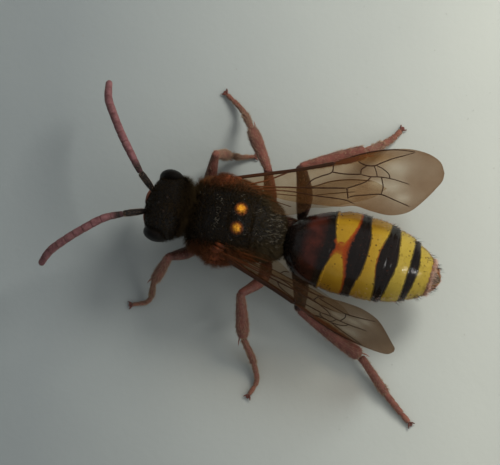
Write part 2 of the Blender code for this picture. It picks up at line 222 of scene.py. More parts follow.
def turned(x=0, y=0, z=0):
    """A turn by some degrees about each axis."""
    return Euler((radians(x), radians(y), radians(z))).to_matrix()


def circle(sides):
    return np.arange(sides) * tau / sides


def tube_rings(path, radii, sides, squash=1.0):
    """Rings round a path; squash flattens them on the side that looks up."""
    ways = unit(np.gradient(path, axis=0))
    across = unit(np.cross(ways, (0, 0, 1)))
    above = np.cross(across, ways)
    spread = across[:, None] * np.cos(circle(sides))[None, :, None]
    spread = spread + squash * above[:, None] * np.sin(circle(sides))[None, :, None]
    return path[:, None] + radii[:, None, None] * spread


def hard_segment(points, widths, rows, sides, squash=1.0, round_ends=(0.06, 0.06)):
    """Rings of one hard segment of a limb: widths are (share of the length, radius)."""
    shares = (1 - np.cos(np.linspace(0.06, pi - 0.06, rows))) / 2
    path = points_at(route(points, 96), shares)
    radii = smooth(widths, shares)[:, 0]
    near = np.clip(shares / round_ends[0], 0, 1)
    far = np.clip((1 - shares) / round_ends[1], 0, 1)
    radii = radii * np.sqrt(1 - (1 - near) ** 2) * np.sqrt(1 - (1 - far) ** 2)
    return tube_rings(path, np.maximum(radii, 0.003), sides, squash)


def ball_rings(radii, rows, sides):
    """Rings of an oval ball about the origin, from its top down."""
    down = np.linspace(0.03, pi - 0.03, rows)[:, None]
    turns = circle(sides)[None]
    rings = (np.sin(down) * np.cos(turns), np.sin(down) * np.sin(turns), np.cos(down) + 0 * turns)
    return np.stack(rings, axis=-1) * np.asarray(radii)


def oval_rings(knots, rows, sides, upright, blunt=0.88):
    """Rings through ovals of (place, half width, low, high), across Z if upright, else across Y."""
    knots = np.column_stack((np.arange(len(knots)), knots))
    place, half, low, high = smooth(knots, np.linspace(0, len(knots) - 1, rows)).T[:, :, None]
    wide, tall = np.cos(circle(sides)), np.sin(circle(sides))
    wide = np.sign(wide) * np.abs(wide) ** blunt
    tall = np.sign(tall) * np.abs(tall) ** blunt
    across, level = half * wide, (low + high) / 2 + (high - low) / 2 * tall
    place = place + 0 * across
    return np.stack((across, level, place) if upright else (across, place, level), axis=-1)


def moved(rings, place, turn=Matrix.Identity(3)):
    return rings @ np.array(turn).T + np.asarray(place)


def bent(rings):
    """Rings shifted sideways with the bend of the waist."""
    shift = BEND * hill(rings[..., 1] - BEND_CENTRE, BEND_LENGTH)
    return rings + np.stack((shift, 0 * shift, 0 * shift), axis=-1)


def normals_of(rings):
    """The direction out of the body at each point of its rings."""
    around = np.roll(rings, -1, axis=1) - np.roll(rings, 1, axis=1)
    out = unit(np.cross(np.gradient(rings, axis=0), around))
    outward = (out * (rings - rings.mean(axis=1, keepdims=True))).sum()
    return out if outward > 0 else -out


def roughness(points, size):
    """Smooth noise from -1 to 1 at each point."""
    flat = points.reshape(-1, 3) / size
    return np.array([noise.noise(spot) for spot in flat]).reshape(points.shape[:-1])


def pits(points, size):
    """1 in the middle of each pit of a punctured surface, and 0 between the pits."""
    flat = points.reshape(-1, 3) / size
    near = np.array([noise.voronoi(spot)[0][0] for spot in flat])
    return hill(near, PIT_WIDTH).reshape(points.shape[:-1])


# ---------------------------------------------------------------- pieces


def wrapping(rows, sides):
    """Corners of the faces round rings, with a fan at each end, and their spots on the map."""
    i, j = np.meshgrid(np.arange(rows - 1), np.arange(sides), indexing="ij")
    down = i.reshape(-1, 1) + (0, 0, 1, 1)
    beside = j.reshape(-1, 1) + (0, 1, 1, 0)
    k = np.arange(sides)
    after = (k + 1) % sides
    last_row = (rows - 1) * sides
    faces = (
        down * sides + beside % sides,
        np.column_stack((np.full(sides, rows * sides), after, k)),
        np.column_stack((np.full(sides, rows * sides + 1), last_row + k, last_row + after)),
    )
    spots = (
        np.stack((beside / sides, down / (rows - 1)), -1),
        np.stack((np.column_stack((k + 0.5, k + 1, k)) / sides, np.zeros((sides, 3))), -1),
        np.stack((np.column_stack((k + 0.5, k, k + 1)) / sides, np.ones((sides, 3))), -1),
    )
    return faces, spots


class Form:
    """Bodies in millimetres, gathered to become one piece; names are those of its points' values."""

    def __init__(self, *names):
        self.points, self.corners, self.sizes, self.spots = [], [], [], []
        self.values = {name: [] for name in names}
        self.count = 0

    def add(self, points, corners, sizes, spots, values):
        self.points.append(points)
        self.corners.append(corners + self.count)
        self.sizes.append(sizes)
        self.spots.append(spots)
        for name, column in self.values.items():
            column.append(np.broadcast_to(np.asarray(values.get(name, 0.0)), len(points)))
        self.count += len(points)

    def add_rings(self, rings, tile=WHOLE, **values):
        """A closed body through rings; tile is its share of the map."""
        rows, sides = rings.shape[:2]
        corner, beside, under = rings[rows // 2, 0], rings[rows // 2, 1], rings[rows // 2 + 1, 0]
        facing = np.cross(beside - corner, under - corner)
        inside_out = np.dot(facing, corner - rings[rows // 2].mean(axis=0)) < 0
        faces, spots = wrapping(rows, sides)
        if inside_out:
            faces = [part[:, ::-1] for part in faces]
            spots = [part[:, ::-1] for part in spots]
        corners = np.concatenate([part.ravel() for part in faces])
        sizes = np.concatenate([np.full(len(part), part.shape[1]) for part in faces])
        spots = np.concatenate([part.reshape(-1, 2) for part in spots])
        low, high = np.array(tile[:2]), np.array(tile[2:])
        points = np.concatenate((rings.reshape(-1, 3), rings[:1].mean(axis=1), rings[-1:].mean(axis=1)))
        named = {}
        for name, value in values.items():
            full = np.broadcast_to(value, (rows, sides))
            named[name] = np.concatenate((full.ravel(), full[:1].mean(axis=1), full[-1:].mean(axis=1)))
        self.add(points, corners, sizes, low + (high - low) * spots, named)

    def piece(self, name, material, slot, *nodes):
        """Make the mesh, riding on the bee, in place of the named CAD nodes."""
        points = ORIGIN + MM * np.concatenate(self.points)
        corners = np.concatenate(self.corners).astype(np.int32)
        sizes = np.concatenate(self.sizes)
        starts = np.concatenate(([0], np.cumsum(sizes)[:-1])).astype(np.int32)
        mesh = bpy.data.meshes.new(name)
        mesh.vertices.add(len(points))
        mesh.vertices.foreach_set("co", points.astype(np.float32).ravel())
        mesh.loops.add(len(corners))
        mesh.loops.foreach_set("vertex_index", corners)
        mesh.polygons.add(len(sizes))
        mesh.polygons.foreach_set("loop_start", starts)
        mesh.update(calc_edges=True)
        spots = np.concatenate(self.spots).astype(np.float32)
        mesh.uv_layers.new(name="OFBake").data.foreach_set("uv", spots.ravel())
        for key, column in self.values.items():
            data = mesh.attributes.new(key, "FLOAT", "POINT").data
            data.foreach_set("value", np.concatenate(column).astype(np.float32))
        mesh.shade_smooth()
        mesh.materials.append(material)
        ob = bpy.data.objects.new(name, mesh)
        bpy.context.scene.collection.objects.link(ob)
        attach(ob, "root")
        if nodes:
            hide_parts(*nodes)


def add_body(name, rings, material, slot, *nodes, **values):
    """A piece of one body, with its values at each point."""
    form = Form(*values)
    form.add_rings(rings, **values)
    form.piece(name, material, slot, *nodes)


# ---------------------------------------------------------------- hair

SEED = 7
RANDOM = np.random.default_rng(SEED)  # the hairs draw from it in the order build() adds them
TUFT_SIDES = 3
TUFT_POINTS = 2 * TUFT_SIDES + 1  # a ring at the root, a ring half way up, and the tip
TUFT_BEND = 0.35
TUFT_DEPTH = 0.012  # of its root in the skin
TUFT_PATCH = 0.003  # how wide it lies on the map
LIFT_SPREAD = 12  # degrees


def scatter(rings, count, density, tile):
    """Roots of tufts on a skin: places, directions out and along its rows, and map spots."""
    rows, sides = rings.shape[:2]
    beside = np.roll(rings, -1, axis=1)
    out = normals_of(rings)
    areas = np.linalg.norm(np.cross(beside[:-1] - rings[:-1], rings[1:] - rings[:-1]), axis=-1)
    if density is not None:
        areas = areas * density[:-1]
    sums = np.cumsum(areas.ravel())
    cells = np.searchsorted(sums, RANDOM.random(count) * sums[-1])
    i, j = np.minimum(cells // sides, rows - 2), cells % sides
    a, b = RANDOM.random((2, count, 1))
    corner, right, up, far = rings[i, j], beside[i, j], rings[i + 1, j], beside[i + 1, j]
    spots = np.column_stack(((j + a[:, 0]) / sides, (i + b[:, 0]) / (rows - 1)))
    low, high = np.array(tile[:2]), np.array(tile[2:])
    return {
        "place": (corner * (1 - a) + right * a) * (1 - b) + (up * (1 - a) + far * a) * b,
        "out": out[i, j],
        "along": unit(up - corner),
        "spot": low + (high - low) * spots,
        "cell": (i, j),
    }


def tuft_points(roots, length, width, lift, spread):
    """Points of thin spikes that stand up by lift degrees, spread to both sides, and bend over."""
    count = len(length)
    out, along = roots["out"], roots["along"]
    lay = unit(along + np.cross(out, along) * RANDOM.normal(0, spread, (count, 1)))
    rise = radians(1) * (lift + RANDOM.normal(0, LIFT_SPREAD, (count, 1)))
    way = unit(lay * np.cos(rise) + out * np.sin(rise))
    late = unit(way + TUFT_BEND * lay - 0.15 * TUFT_BEND * out)
    size = np.reshape(length * (0.75 + 0.5 * RANDOM.random(count)), (count, 1))
    middle = roots["place"] + way * size * 0.5
    tip = middle + late * size * 0.5
    beside = unit(np.cross(way, out) + 1e-6)
    above = np.cross(beside, way)
    turns = circle(TUFT_SIDES)
    star = beside[:, None] * np.cos(turns)[None, :, None] + above[:, None] * np.sin(turns)[None, :, None]
    sunk = roots["place"] - out * TUFT_DEPTH
    rings = sunk[:, None] + star * width / 2, middle[:, None] + star * width * 0.36, tip[:, None]
    return np.concatenate(rings, axis=1).reshape(-1, 3)


def tuft_corners():
    """Corners of one tuft's triangles."""
    faces = [(0, 2, 1)]
    for k in range(TUFT_SIDES):
        n = (k + 1) % TUFT_SIDES
        faces += [(k, n, TUFT_SIDES + n), (k, TUFT_SIDES + n, TUFT_SIDES + k)]
        faces.append((TUFT_SIDES + k, TUFT_SIDES + n, TUFT_POINTS - 1))
    return np.array(faces)


def add_coat(form, skin, layer, density, length, tile=WHOLE, way=1, **values):
    """A layer of tufts, as LAYERS has them; density, length and values may vary over the skin."""
    count, width, lift, spread = layer
    roots = scatter(skin, count, density, tile)
    roots["along"] = way * roots["along"]
    length = np.broadcast_to(length, skin.shape[:2])[roots["cell"]]
    points = tuft_points(roots, length, width, lift, spread)
    faces = tuft_corners()
    corners = (np.arange(count)[:, None, None] * TUFT_POINTS + faces).ravel()
    round_patch = np.column_stack((np.cos(circle(TUFT_SIDES)), np.sin(circle(TUFT_SIDES)))) * TUFT_PATCH
    local = np.concatenate((round_patch / 2, round_patch / 4, ((0, 0),)))
    spots = np.clip(roots["spot"], TUFT_PATCH, 1 - TUFT_PATCH)[:, None, None] + local[faces]
    named = {}
    for key, value in values.items():
        named[key] = np.repeat(np.broadcast_to(value, skin.shape[:2])[roots["cell"]], TUFT_POINTS)
    ranks = np.concatenate((np.zeros(TUFT_SIDES), np.full(TUFT_SIDES, 0.5), (1.0,)))
    named["tip"] = np.tile(ranks, count)
    form.add(points, corners, np.full(count * len(faces), 3), spots.reshape(-1, 2), named)


def add_layer(name, material, skin, *layer, **options):
    """A piece of one layer of hair on black cuticle; the rest is as add_coat takes it."""
    form = Form("tip")
    add_coat(form, skin, *layer, **options)
    form.piece(name, material, "black_cuticle")


# ---------------------------------------------------------------- materials


def linear(*screen):
    """A screen colour of three channels from 0 to 255, as linear light."""
    shares = np.array(screen) / 255
    light = np.where(shares <= 0.04045, shares / 12.92, ((shares + 0.055) / 1.055) ** 2.4)
    return (*light, 1.0)


class Paint:
    """A node material, put together a call at a time; places are in millimetres."""

    def __init__(self, name, **settings):
        self.material = bpy.data.materials.new(name)
        self.material.use_nodes = True
        self.tree = self.material.node_tree
        self.shader = self.tree.nodes["Principled BSDF"]
        for socket, value in settings.items():
            self.set(socket.replace("_", " "), value)
        scale = self.tree.nodes.new("ShaderNodeVectorMath")
        scale.operation = "SCALE"
        scale.inputs["Scale"].default_value = 1 / MM
        self.put(scale.inputs[0], self.tree.nodes.new("ShaderNodeTexCoord").outputs["Object"])
        self.places = scale.outputs[0]

    def put(self, socket, value):
        """Link a socket, or set it; a colour of three channels is a screen colour."""
        if isinstance(value, bpy.types.NodeSocket):
            self.tree.links.new(value, socket)
        elif socket.type == "RGBA" and len(value) == 3:
            socket.default_value = linear(*value)
        else:
            socket.default_value = value

    def set(self, name, value):
        self.put(self.shader.inputs[name], value)

    def node(self, kind, inputs, **settings):
        """A node with its settings, and its inputs by name or number."""
        node = self.tree.nodes.new("ShaderNode" + kind)
        for name, value in settings.items():
            setattr(node, name, value)
        for key, value in inputs.items():
            self.put(node.inputs[key], value)
        return node

    def attribute(self, name):
        return self.node("Attribute", {}, attribute_name=name).outputs["Fac"]

    def noise(self, per_mm, detail=3.0):
        inputs = {"Vector": self.places, "Scale": per_mm, "Detail": detail}
        return self.node("TexNoise", inputs).outputs["Fac"]

    def cloud(self, per_mm, low=0.0, high=1.0):
        """Noise stretched to run from low to high."""
        return self.ramp(self.noise(per_mm), 0.3, 0.7, low, high)

    def cells(self, per_mm, feature="F1"):
        inputs = {"Vector": self.places, "Scale": per_mm}
        return self.node("TexVoronoi", inputs, feature=feature).outputs["Distance"]

    def across(self, way):
        """How far along a direction each place lies."""
        inputs = {0: self.places, 1: way}
        return self.node("VectorMath", inputs, operation="DOT_PRODUCT").outputs["Value"]

    def math(self, operation, first, second):
        return self.node("Math", {0: first, 1: second}, operation=operation).outputs[0]

    def ramp(self, factor, low, high, start=0.0, end=1.0):
        """start where the factor is at low, and end where it is at high."""
        inputs = {"Value": factor, "From Min": low, "From Max": high, "To Min": start, "To Max": end}
        return self.node("MapRange", inputs).outputs["Result"]

    def mix(self, factor, first, second):
        """A colour between two colours."""
        return self.node("Mix", {"Factor": factor, 6: first, 7: second}, data_type="RGBA").outputs[2]

    def tones(self, per_mm, first, second):
        """A colour that wanders between two colours."""
        return self.mix(self.noise(per_mm), first, second)

    def rough(self, per_mm, low, high):
        """Roughness that wanders from low to high."""
        self.set("Roughness", self.cloud(per_mm, low, high))

    def see_through(self, tint, cover):
        """Let what is behind show through, coloured by tint, but for the share that cover hides."""
        clear = self.node("BsdfTransparent", {"Color": tint})
        both = self.node("MixShader", {0: cover, 1: clear.outputs[0], 2: self.shader.outputs[0]})
        self.put(self.tree.nodes["Material Output"].inputs["Surface"], both.outputs[0])

    def bump(self, height, depth, strength=1.0):
        """Relief of the given depth in millimetres, laid over the relief so far."""
        inputs = {"Height": height, "Distance": depth * MM, "Strength": strength}
        before = self.shader.inputs["Normal"]
        if before.is_linked:
            inputs["Normal"] = before.links[0].from_socket
        self.put(before, self.node("Bump", inputs).outputs[0])

    def dimples(self, per_mm, width, depth, strength):
        """A hollow in the middle of each cell."""
        self.bump(self.ramp(self.cells(per_mm), 0.0, width), depth, strength)


def black_cuticle():
    """Dull black, coarsely punctured, with brown where the plates are thin and yellow spots."""
    paint = Paint("black_cuticle", Specular_IOR_Level=0.3)
    grain = paint.noise(22.0)
    black = paint.mix(paint.ramp(paint.noise(1.8), 0.35, 0.7), (8, 8, 6), (24, 18, 11))
    brown = paint.mix(grain, (74, 34, 16), (124, 64, 28))
    base = paint.mix(paint.attribute("brown"), black, brown)
    yellow = paint.mix(paint.ramp(paint.noise(9.0), 0.35, 0.7), (200, 126, 20), (230, 170, 46))
    spot = paint.attribute("spot")
    edge = paint.math("ADD", spot, paint.ramp(grain, 0.0, 1.0, -0.12, 0.12))
    rim = paint.mix(paint.ramp(edge, 0.25, 0.55), base, (120, 62, 14))
    paint.set("Base Color", paint.mix(paint.ramp(edge, 0.5, 0.8), rim, yellow))
    dull = paint.ramp(grain, 0.3, 0.7, 0.44, 0.64)
    glint = paint.ramp(paint.ramp(paint.cells(5.0), 0.10, 0.16), 0.0, 1.0, 0.4, 1.0)
    paint.set("Roughness", paint.math("MULTIPLY", dull, glint))
    bare = paint.ramp(spot, 0.4, 0.7, 1.0, 0.25)
    paint.bump(paint.math("MULTIPLY", paint.ramp(paint.cells(12.0), 0.0, 0.6), bare), 0.030)
    paint.bump(paint.noise(70.0), 0.004)
    return paint.material


def eye_cuticle():
    """Compound eyes: near black, with the fine net of their facets."""
    paint = Paint("eye_facets", Specular_IOR_Level=0.09)
    net = paint.ramp(paint.cells(42.0, "DISTANCE_TO_EDGE"), 0.0, 0.16)
    dark = paint.tones(1.6, (10, 8, 6), (21, 16, 11))
    paint.set("Base Color", paint.mix(net, (6, 5, 5), dark))
    paint.rough(3.0, 0.30, 0.42)
    paint.bump(net, 0.004, 0.8)
    return paint.material


def ocellus_glass():
    paint = Paint("ocellus", Roughness=0.14, Specular_IOR_Level=0.4)
    paint.set("Base Color", paint.tones(12.0, (14, 10, 8), (38, 26, 18)))
    return paint.material


def jaw_cuticle():
    """Orange-red jaws and lip, dark at their tips."""
    paint = Paint("jaw_cuticle", Specular_IOR_Level=0.5)
    red = paint.tones(7.0, (88, 38, 18), (132, 68, 32))
    paint.set("Base Color", paint.mix(paint.attribute("dark"), red, (34, 16, 12)))
    paint.rough(25.0, 0.26, 0.42)
    paint.dimples(16.0, 0.5, 0.008, 0.6)
    return paint.material


def feeler_cuticle():
    """Black stem, then rosy brown rings with a fine velvet surface."""
    paint = Paint("feeler_cuticle", Specular_IOR_Level=0.22)
    rosy = paint.mix(paint.cloud(6.0), (94, 59, 61), (126, 86, 88))
    black = paint.tones(9.0, (11, 10, 9), (32, 26, 24))
    base = paint.mix(paint.attribute("red"), black, rosy)
    paint.set("Base Color", paint.mix(paint.attribute("joint"), base, (74, 38, 36)))
    paint.rough(30.0, 0.42, 0.62)
    paint.bump(paint.noise(48.0), 0.008)
    return paint.material


def leg_cuticle():
    """Red-brown legs: tone runs from black-brown at 0 through red at 0.5 to orange at 1."""
    paint = Paint("leg_cuticle", Specular_IOR_Level=0.35)
    tone = paint.math("ADD", paint.attribute("tone"), paint.cloud(4.0, -0.12, 0.12))
    low = paint.mix(paint.ramp(tone, 0.0, 0.5), (26, 15, 10), (116, 69, 59))
    paint.set("Base Color", paint.mix(paint.ramp(tone, 0.5, 1.0), low, (154, 102, 76)))
    paint.rough(24.0, 0.36, 0.54)
    paint.dimples(17.0, 0.6, 0.010, 0.7)
    paint.bump(paint.noise(60.0), 0.003)
    return paint.material


def banded_cuticle(name="banded_cuticle"):
    """The abdomen's bands, weighted by the values that band_weights gives each point."""
    paint = Paint(name, Specular_IOR_Level=0.28)
    cloud = paint.noise(1.8)
    grain = paint.noise(26.0)
    black = paint.mix(cloud, (11, 10, 9), (28, 21, 18))
    brown = paint.mix(paint.ramp(cloud, 0.35, 0.65), (38, 17, 12), (68, 30, 22))
    red = paint.mix(grain, (102, 36, 12), (146, 62, 16))
    clay = paint.mix(grain, (70, 58, 46), (112, 98, 80))
    orange = paint.mix(cloud, (138, 104, 22), (157, 123, 32))
    lemon = paint.mix(cloud, (143, 123, 38), (163, 141, 60))
    yellow = paint.mix(paint.attribute("lemon"), orange, lemon)
    sparse = paint.ramp(paint.noise(0.9), 0.44, 0.50, 1.0, 0.0)
    specks = paint.math("MAXIMUM", paint.ramp(paint.cells(5.0), 0.10, 0.22), sparse)
    yellow = paint.mix(specks, (64, 42, 18), yellow)
    share = paint.attribute("yellow")
    ragged = paint.cloud(9.0, -0.22, 0.22)
    sharp_yellow = paint.ramp(paint.math("ADD", share, ragged), 0.38, 0.62)
    soft_yellow = paint.math("MULTIPLY", share, paint.ramp(share, 0.40, 0.45, 1.0, 0.0))
    red_edge = paint.ramp(paint.math("ADD", paint.attribute("red"), ragged), 0.15, 0.95)
    base = paint.mix(paint.attribute("brown"), black, brown)
    base = paint.mix(paint.attribute("clay"), base, clay)
    base = paint.mix(red_edge, base, red)
    paint.set("Base Color", paint.mix(paint.math("MAXIMUM", sharp_yellow, soft_yellow), base, yellow))
    paint.set("Roughness", paint.ramp(grain, 0.3, 0.7, 0.09, 0.22))
    paint.dimples(13.0, 0.35, 0.004, 0.5)
    paint.bump(paint.noise(55.0), 0.002)
    return paint.material


def wing_film():
    """A brown film that tints what shows through it: smoke is how dark it is, amber how warm."""
    paint = Paint("wing_film", Specular_IOR_Level=0.5)
    crease = paint.noise(1.4, 4.0)
    warm = paint.attribute("amber")
    smoky = paint.mix(crease, (96, 73, 54), (124, 98, 72))
    amber = paint.mix(crease, (140, 88, 34), (166, 112, 50))
    paint.set("Base Color", paint.mix(warm, smoky, amber))
    veil = paint.math("ADD", paint.attribute("smoke"), paint.ramp(crease, 0.3, 0.7, -0.07, 0.07))
    # The tints of clear and of smoky film, as shares of the light that passes
    clear = paint.mix(warm, (0.95, 0.91, 0.85, 1.0), (0.94, 0.85, 0.70, 1.0))
    dark = paint.mix(warm, (0.53, 0.41, 0.33, 1.0), (0.56, 0.41, 0.26, 1.0))
    paint.rough(20.0, 0.20, 0.40)
    paint.bump(paint.noise(3.5, 5.0), 0.05, 0.7)
    paint.bump(paint.cells(24.0), 0.004, 0.5)
    tint = paint.mix(paint.ramp(veil, 0.0, 1.0), clear, dark)
    paint.see_through(tint, paint.ramp(veil, 0.0, 1.0, 0.05, 0.16))
    return paint.material


def vein_cuticle():
    paint = Paint("vein_cuticle", Specular_IOR_Level=0.15)
    brown = paint.tones(8.0, (30, 17, 10), (54, 31, 16))
    paint.set("Base Color", paint.mix(paint.attribute("amber"), brown, (96, 50, 20)))
    paint.rough(30.0, 0.34, 0.55)
    paint.bump(paint.noise(40.0), 0.004)
    return paint.material


def shell_cuticle():
    """Tegulae and wing roots: dark orange-brown, with a redder and paler outer rim."""
    paint = Paint("shell_cuticle", Specular_IOR_Level=0.15)
    warm = paint.mix(paint.cloud(5.0), (58, 26, 12), (108, 54, 26))
    paint.set("Base Color", paint.mix(paint.attribute("rim"), warm, (156, 74, 42)))
    paint.rough(28.0, 0.32, 0.50)
    paint.dimples(18.0, 0.5, 0.006, 0.6)
    return paint.material


def hair_matter(name, root, tip):
    """Hair from its root's colour to its tip's, with some tufts darker."""
    paint = Paint(name, Specular_IOR_Level=0.12)
    shade = paint.mix(paint.attribute("tip"), root, tip)
    dim = tuple(0.72 * channel for channel in tip)
    paint.set("Base Color", paint.mix(paint.cloud(7.0), shade, dim))
    paint.rough(40.0, 0.5, 0.7)
    return paint.material


# ---------------------------------------------------------------- head

OCELLI = ((0.0, -0.34, 0.985), (0.27, -0.10, 1.065), (-0.27, -0.10, 1.065))
OCELLUS_RADII = (0.085, 0.085, 0.075)
JAW_ROUTE = ((0.66, -0.36, -0.74), (0.64, -0.62, -0.98), (0.44, -0.80, -1.12), (0.04, -0.88, -1.17))
JAW_WIDTHS = ((0.0, 0.17), (0.35, 0.16), (0.7, 0.105), (1.0, 0.03))
LIP_CENTRE = (0.0, -0.80, -1.02)
LIP_RADII = (0.34, 0.07, 0.17)
LIP_TILT = 24
TONGUE_ROUTE = ((0.0, -0.66, -1.08), (0.0, -0.35, -1.16), (0.0, 0.05, -1.08), (0.0, 0.38, -0.86))
TONGUE_WIDTHS = ((0.0, 0.12), (0.4, 0.14), (1.0, 0.09))
PALP_ROUTE = ((0.16, -0.70, -1.10), (0.20, -0.46, -1.20), (0.17, -0.18, -1.20))
PALP_WIDTHS = ((0.0, 0.04), (0.6, 0.035), (1.0, 0.02))
NECK_ROUTE = ((-0.02, -2.28, 2.30), (0.0, -1.95, 2.33), (0.0, -1.62, 2.36))
NECK_WIDTHS = ((0.0, 0.50), (0.5, 0.62), (1.0, 0.66))


def on_head(rings):
    """Rings in the head's own frame, put in the bee's."""
    return moved(rings, HEAD_CENTRE, turned(z=HEAD_TURN))


def head_skin():
    """The capsule, and how brown it is."""
    rings = oval_rings(HEAD_RINGS, rows=170, sides=200, upright=True)
    out = normals_of(rings)
    x, z = rings[..., 0], rings[..., 2]
    face = ease(-out[..., 1], 0.1, 0.6)
    nape = ease(out[..., 1], 0.2, 0.8)
    clypeus = np.sqrt((x / 0.50) ** 2 + ((z + 0.66) / 0.33) ** 2)
    relief = 0.055 * np.clip(1 - clypeus, 0, 1) ** 0.6 * face
    relief -= 0.022 * hill(clypeus - 1.06, 0.07) * face  # the groove round it
    relief += 0.030 * mound(x / 0.22, (z + 0.12) / 0.24) * face  # between the feelers
    for side in SIDES.values():
        away = np.hypot(x - side * SOCKETS[0], z - SOCKETS[1])
        relief += (0.030 * hill(away - 0.15, 0.04) - 0.06 * hill(away, 0.10)) * face
    relief -= 0.014 * hill(x, 0.02) * ease(z, 0.0, 0.2) * ease(-z, -0.95, -0.8) * face  # frontal line
    relief -= 0.14 * mound(x / 0.52, (z - 0.02) / 0.42) * nape
    relief -= 0.016 * pits(rings, 0.075) * ease(clypeus, 0.2, 1.0)
    relief += 0.006 * roughness(rings, 0.06)
    return on_head(rings + out * relief[..., None]), mound(x / 0.75, (z + 1.02) / 0.26) * face


def add_head(cuticle):
    """All of the head but the feelers; the skins of the head and the neck are for their hair."""
    skin, brown = head_skin()
    add_body("head_skin", skin, cuticle["black"], "black_cuticle", "head", brown=brown, spot=0.0)
    for name, side in SIDES.items():
        centre = (side * EYE_CENTRE[0], *EYE_CENTRE[1:])
        eye = moved(ball_rings(EYE_RADII, rows=56, sides=84), centre, turned(y=side * EYE_LEAN))
        add_body(f"eye_{name}_facets", on_head(eye), cuticle["eye"], "eye", f"eye_{name}")
    form = Form()
    for number, spot in enumerate(OCELLI):
        tile = (number / len(OCELLI), 0.0, (number + 1) / len(OCELLI), 1.0)
        form.add_rings(on_head(moved(ball_rings(OCELLUS_RADII, rows=14, sides=20), spot)), tile)
    form.piece("ocelli", cuticle["ocellus"], "eye")
    add_mouth(cuticle["jaw"])
    neck = hard_segment(NECK_ROUTE, NECK_WIDTHS, rows=24, sides=40)
    add_body("neck", neck, cuticle["black"], "black_cuticle", brown=0.1, spot=0.0)
    return skin, neck


def add_mouth(material):
    """Two sickle jaws that cross under the lip, the lip, and the tongue folded beneath."""
    for name, side in SIDES.items():
        points = np.array(JAW_ROUTE) * (side, 1, 1) + (0, side * 0.05, side * 0.02)
        jaw = hard_segment(points, JAW_WIDTHS, rows=36, sides=20, squash=0.7)
        dark = ease(np.linspace(0, 1, len(jaw)), 0.55, 0.95)[:, None]
        node = f"mandible_{name}"
        add_body(f"{node}_sickle", on_head(jaw), material, "red_cuticle", node, dark=dark)
    form = Form("dark")
    lip = moved(ball_rings(LIP_RADII, rows=20, sides=32), LIP_CENTRE, turned(x=LIP_TILT))
    form.add_rings(on_head(lip), (0.0, 0.0, 0.5, 0.5), dark=0.0)
    tongue = hard_segment(TONGUE_ROUTE, TONGUE_WIDTHS, rows=36, sides=20, squash=0.7)
    form.add_rings(on_head(tongue), (0.5, 0.0, 1.0, 1.0), dark=0.6)
    for side in SIDES.values():
        palp = hard_segment(np.array(PALP_ROUTE) * (side, 1, 1), PALP_WIDTHS, rows=24, sides=10)
        form.add_rings(on_head(palp), (0.0, 0.5, 0.5, 1.0), dark=0.3)
    form.piece("mouthparts", material, "red_cuticle")


FLAGELLUM_RINGS = 10
FLAGELLUM_ROWS = 260
FLAGELLUM_WIDTHS = ((0.0, 0.120), (0.12, 0.142), (0.5, 0.152), (0.88, 0.146), (1.0, 0.122))
SCAPE_WIDTHS = ((0.0, 0.11), (0.12, 0.095), (0.5, 0.125), (0.85, 0.13), (1.0, 0.115))
SCAPE_SUNK = 0.10  # how far its root lies in the face
PEDICEL_WIDTHS = ((0.0, 0.105), (0.6, 0.12), (1.0, 0.115))


def add_flagellum(name, line, material):
    """The rings beyond the pedicel, each a little wider at its far end."""
    shares = np.linspace(0.025, 1.0, FLAGELLUM_ROWS)
    phase = np.linspace(0, FLAGELLUM_RINGS, FLAGELLUM_ROWS) % 1.0
    to_joint = np.minimum(phase, 1 - phase)
    radii = smooth(FLAGELLUM_WIDTHS, np.linspace(0, 1, FLAGELLUM_ROWS))[:, 0]
    radii = radii * (1 - 0.08 * hill(to_joint, 0.06)) * (1 + 0.05 * (phase - 0.5))
    radii *= np.sqrt(1 - (1 - np.clip((1 - shares) / 0.035, 0.05, 1)) ** 2)
    rings = tube_rings(points_at(line, shares), radii, sides=24)
    red, joint = ease(shares, 0.03, 0.16)[:, None], 0.7 * hill(to_joint, 0.05)[:, None]
    node = f"flagellum_{name}"
    add_body(f"{node}_rings", rings, material, "red_cuticle", node, red=red, joint=joint)
    return rings


def add_feelers(material):
    """Scape, pedicel and flagellum on each side; the scapes and flagella are for their hair."""
    skins = []
    for name, joints in FEELERS.items():
        base, elbow = np.array(joints[0]), np.array(joints[1])
        points = (base - SCAPE_SUNK * unit(elbow - base), (base + elbow) / 2 + (0, 0, 0.03), elbow)
        scape = hard_segment(points, SCAPE_WIDTHS, rows=36, sides=20, round_ends=(0.04, 0.04))
        line = route(joints[1:], 200)
        pedicel = hard_segment(line[[0, 4, 10]], PEDICEL_WIDTHS, rows=16, sides=20)
        form = Form("red", "joint")
        form.add_rings(scape, (0.0, 0.0, 1.0, 0.8))
        form.add_rings(pedicel, (0.0, 0.8, 1.0, 1.0), red=0.25)
        form.piece(f"scape_{name}_stem", material, "black_cuticle", f"scape_{name}")
        skins.append((scape, add_flagellum(name, line, material)))
    return skins


# ---------------------------------------------------------------- thorax

SPOT_PLACES = ((-0.365, 0.05), (0.365, 0.01))
SPOT_RADIUS = 0.185
# Lumps of the wing's root, in the wing's frame: (place, radii)
WING_ROOTS = (
    ((0.02, -0.24, -0.12), (0.26, 0.11, 0.09)),
    ((0.02, -0.04, -0.12), (0.22, 0.10, 0.09)),
    ((0.05, 0.10, -0.16), (0.20, 0.11, 0.08)),
    ((0.22, 0.02, -0.20), (0.18, 0.13, 0.07)),
    ((0.10, 0.24, -0.28), (0.24, 0.10, 0.08)),
)


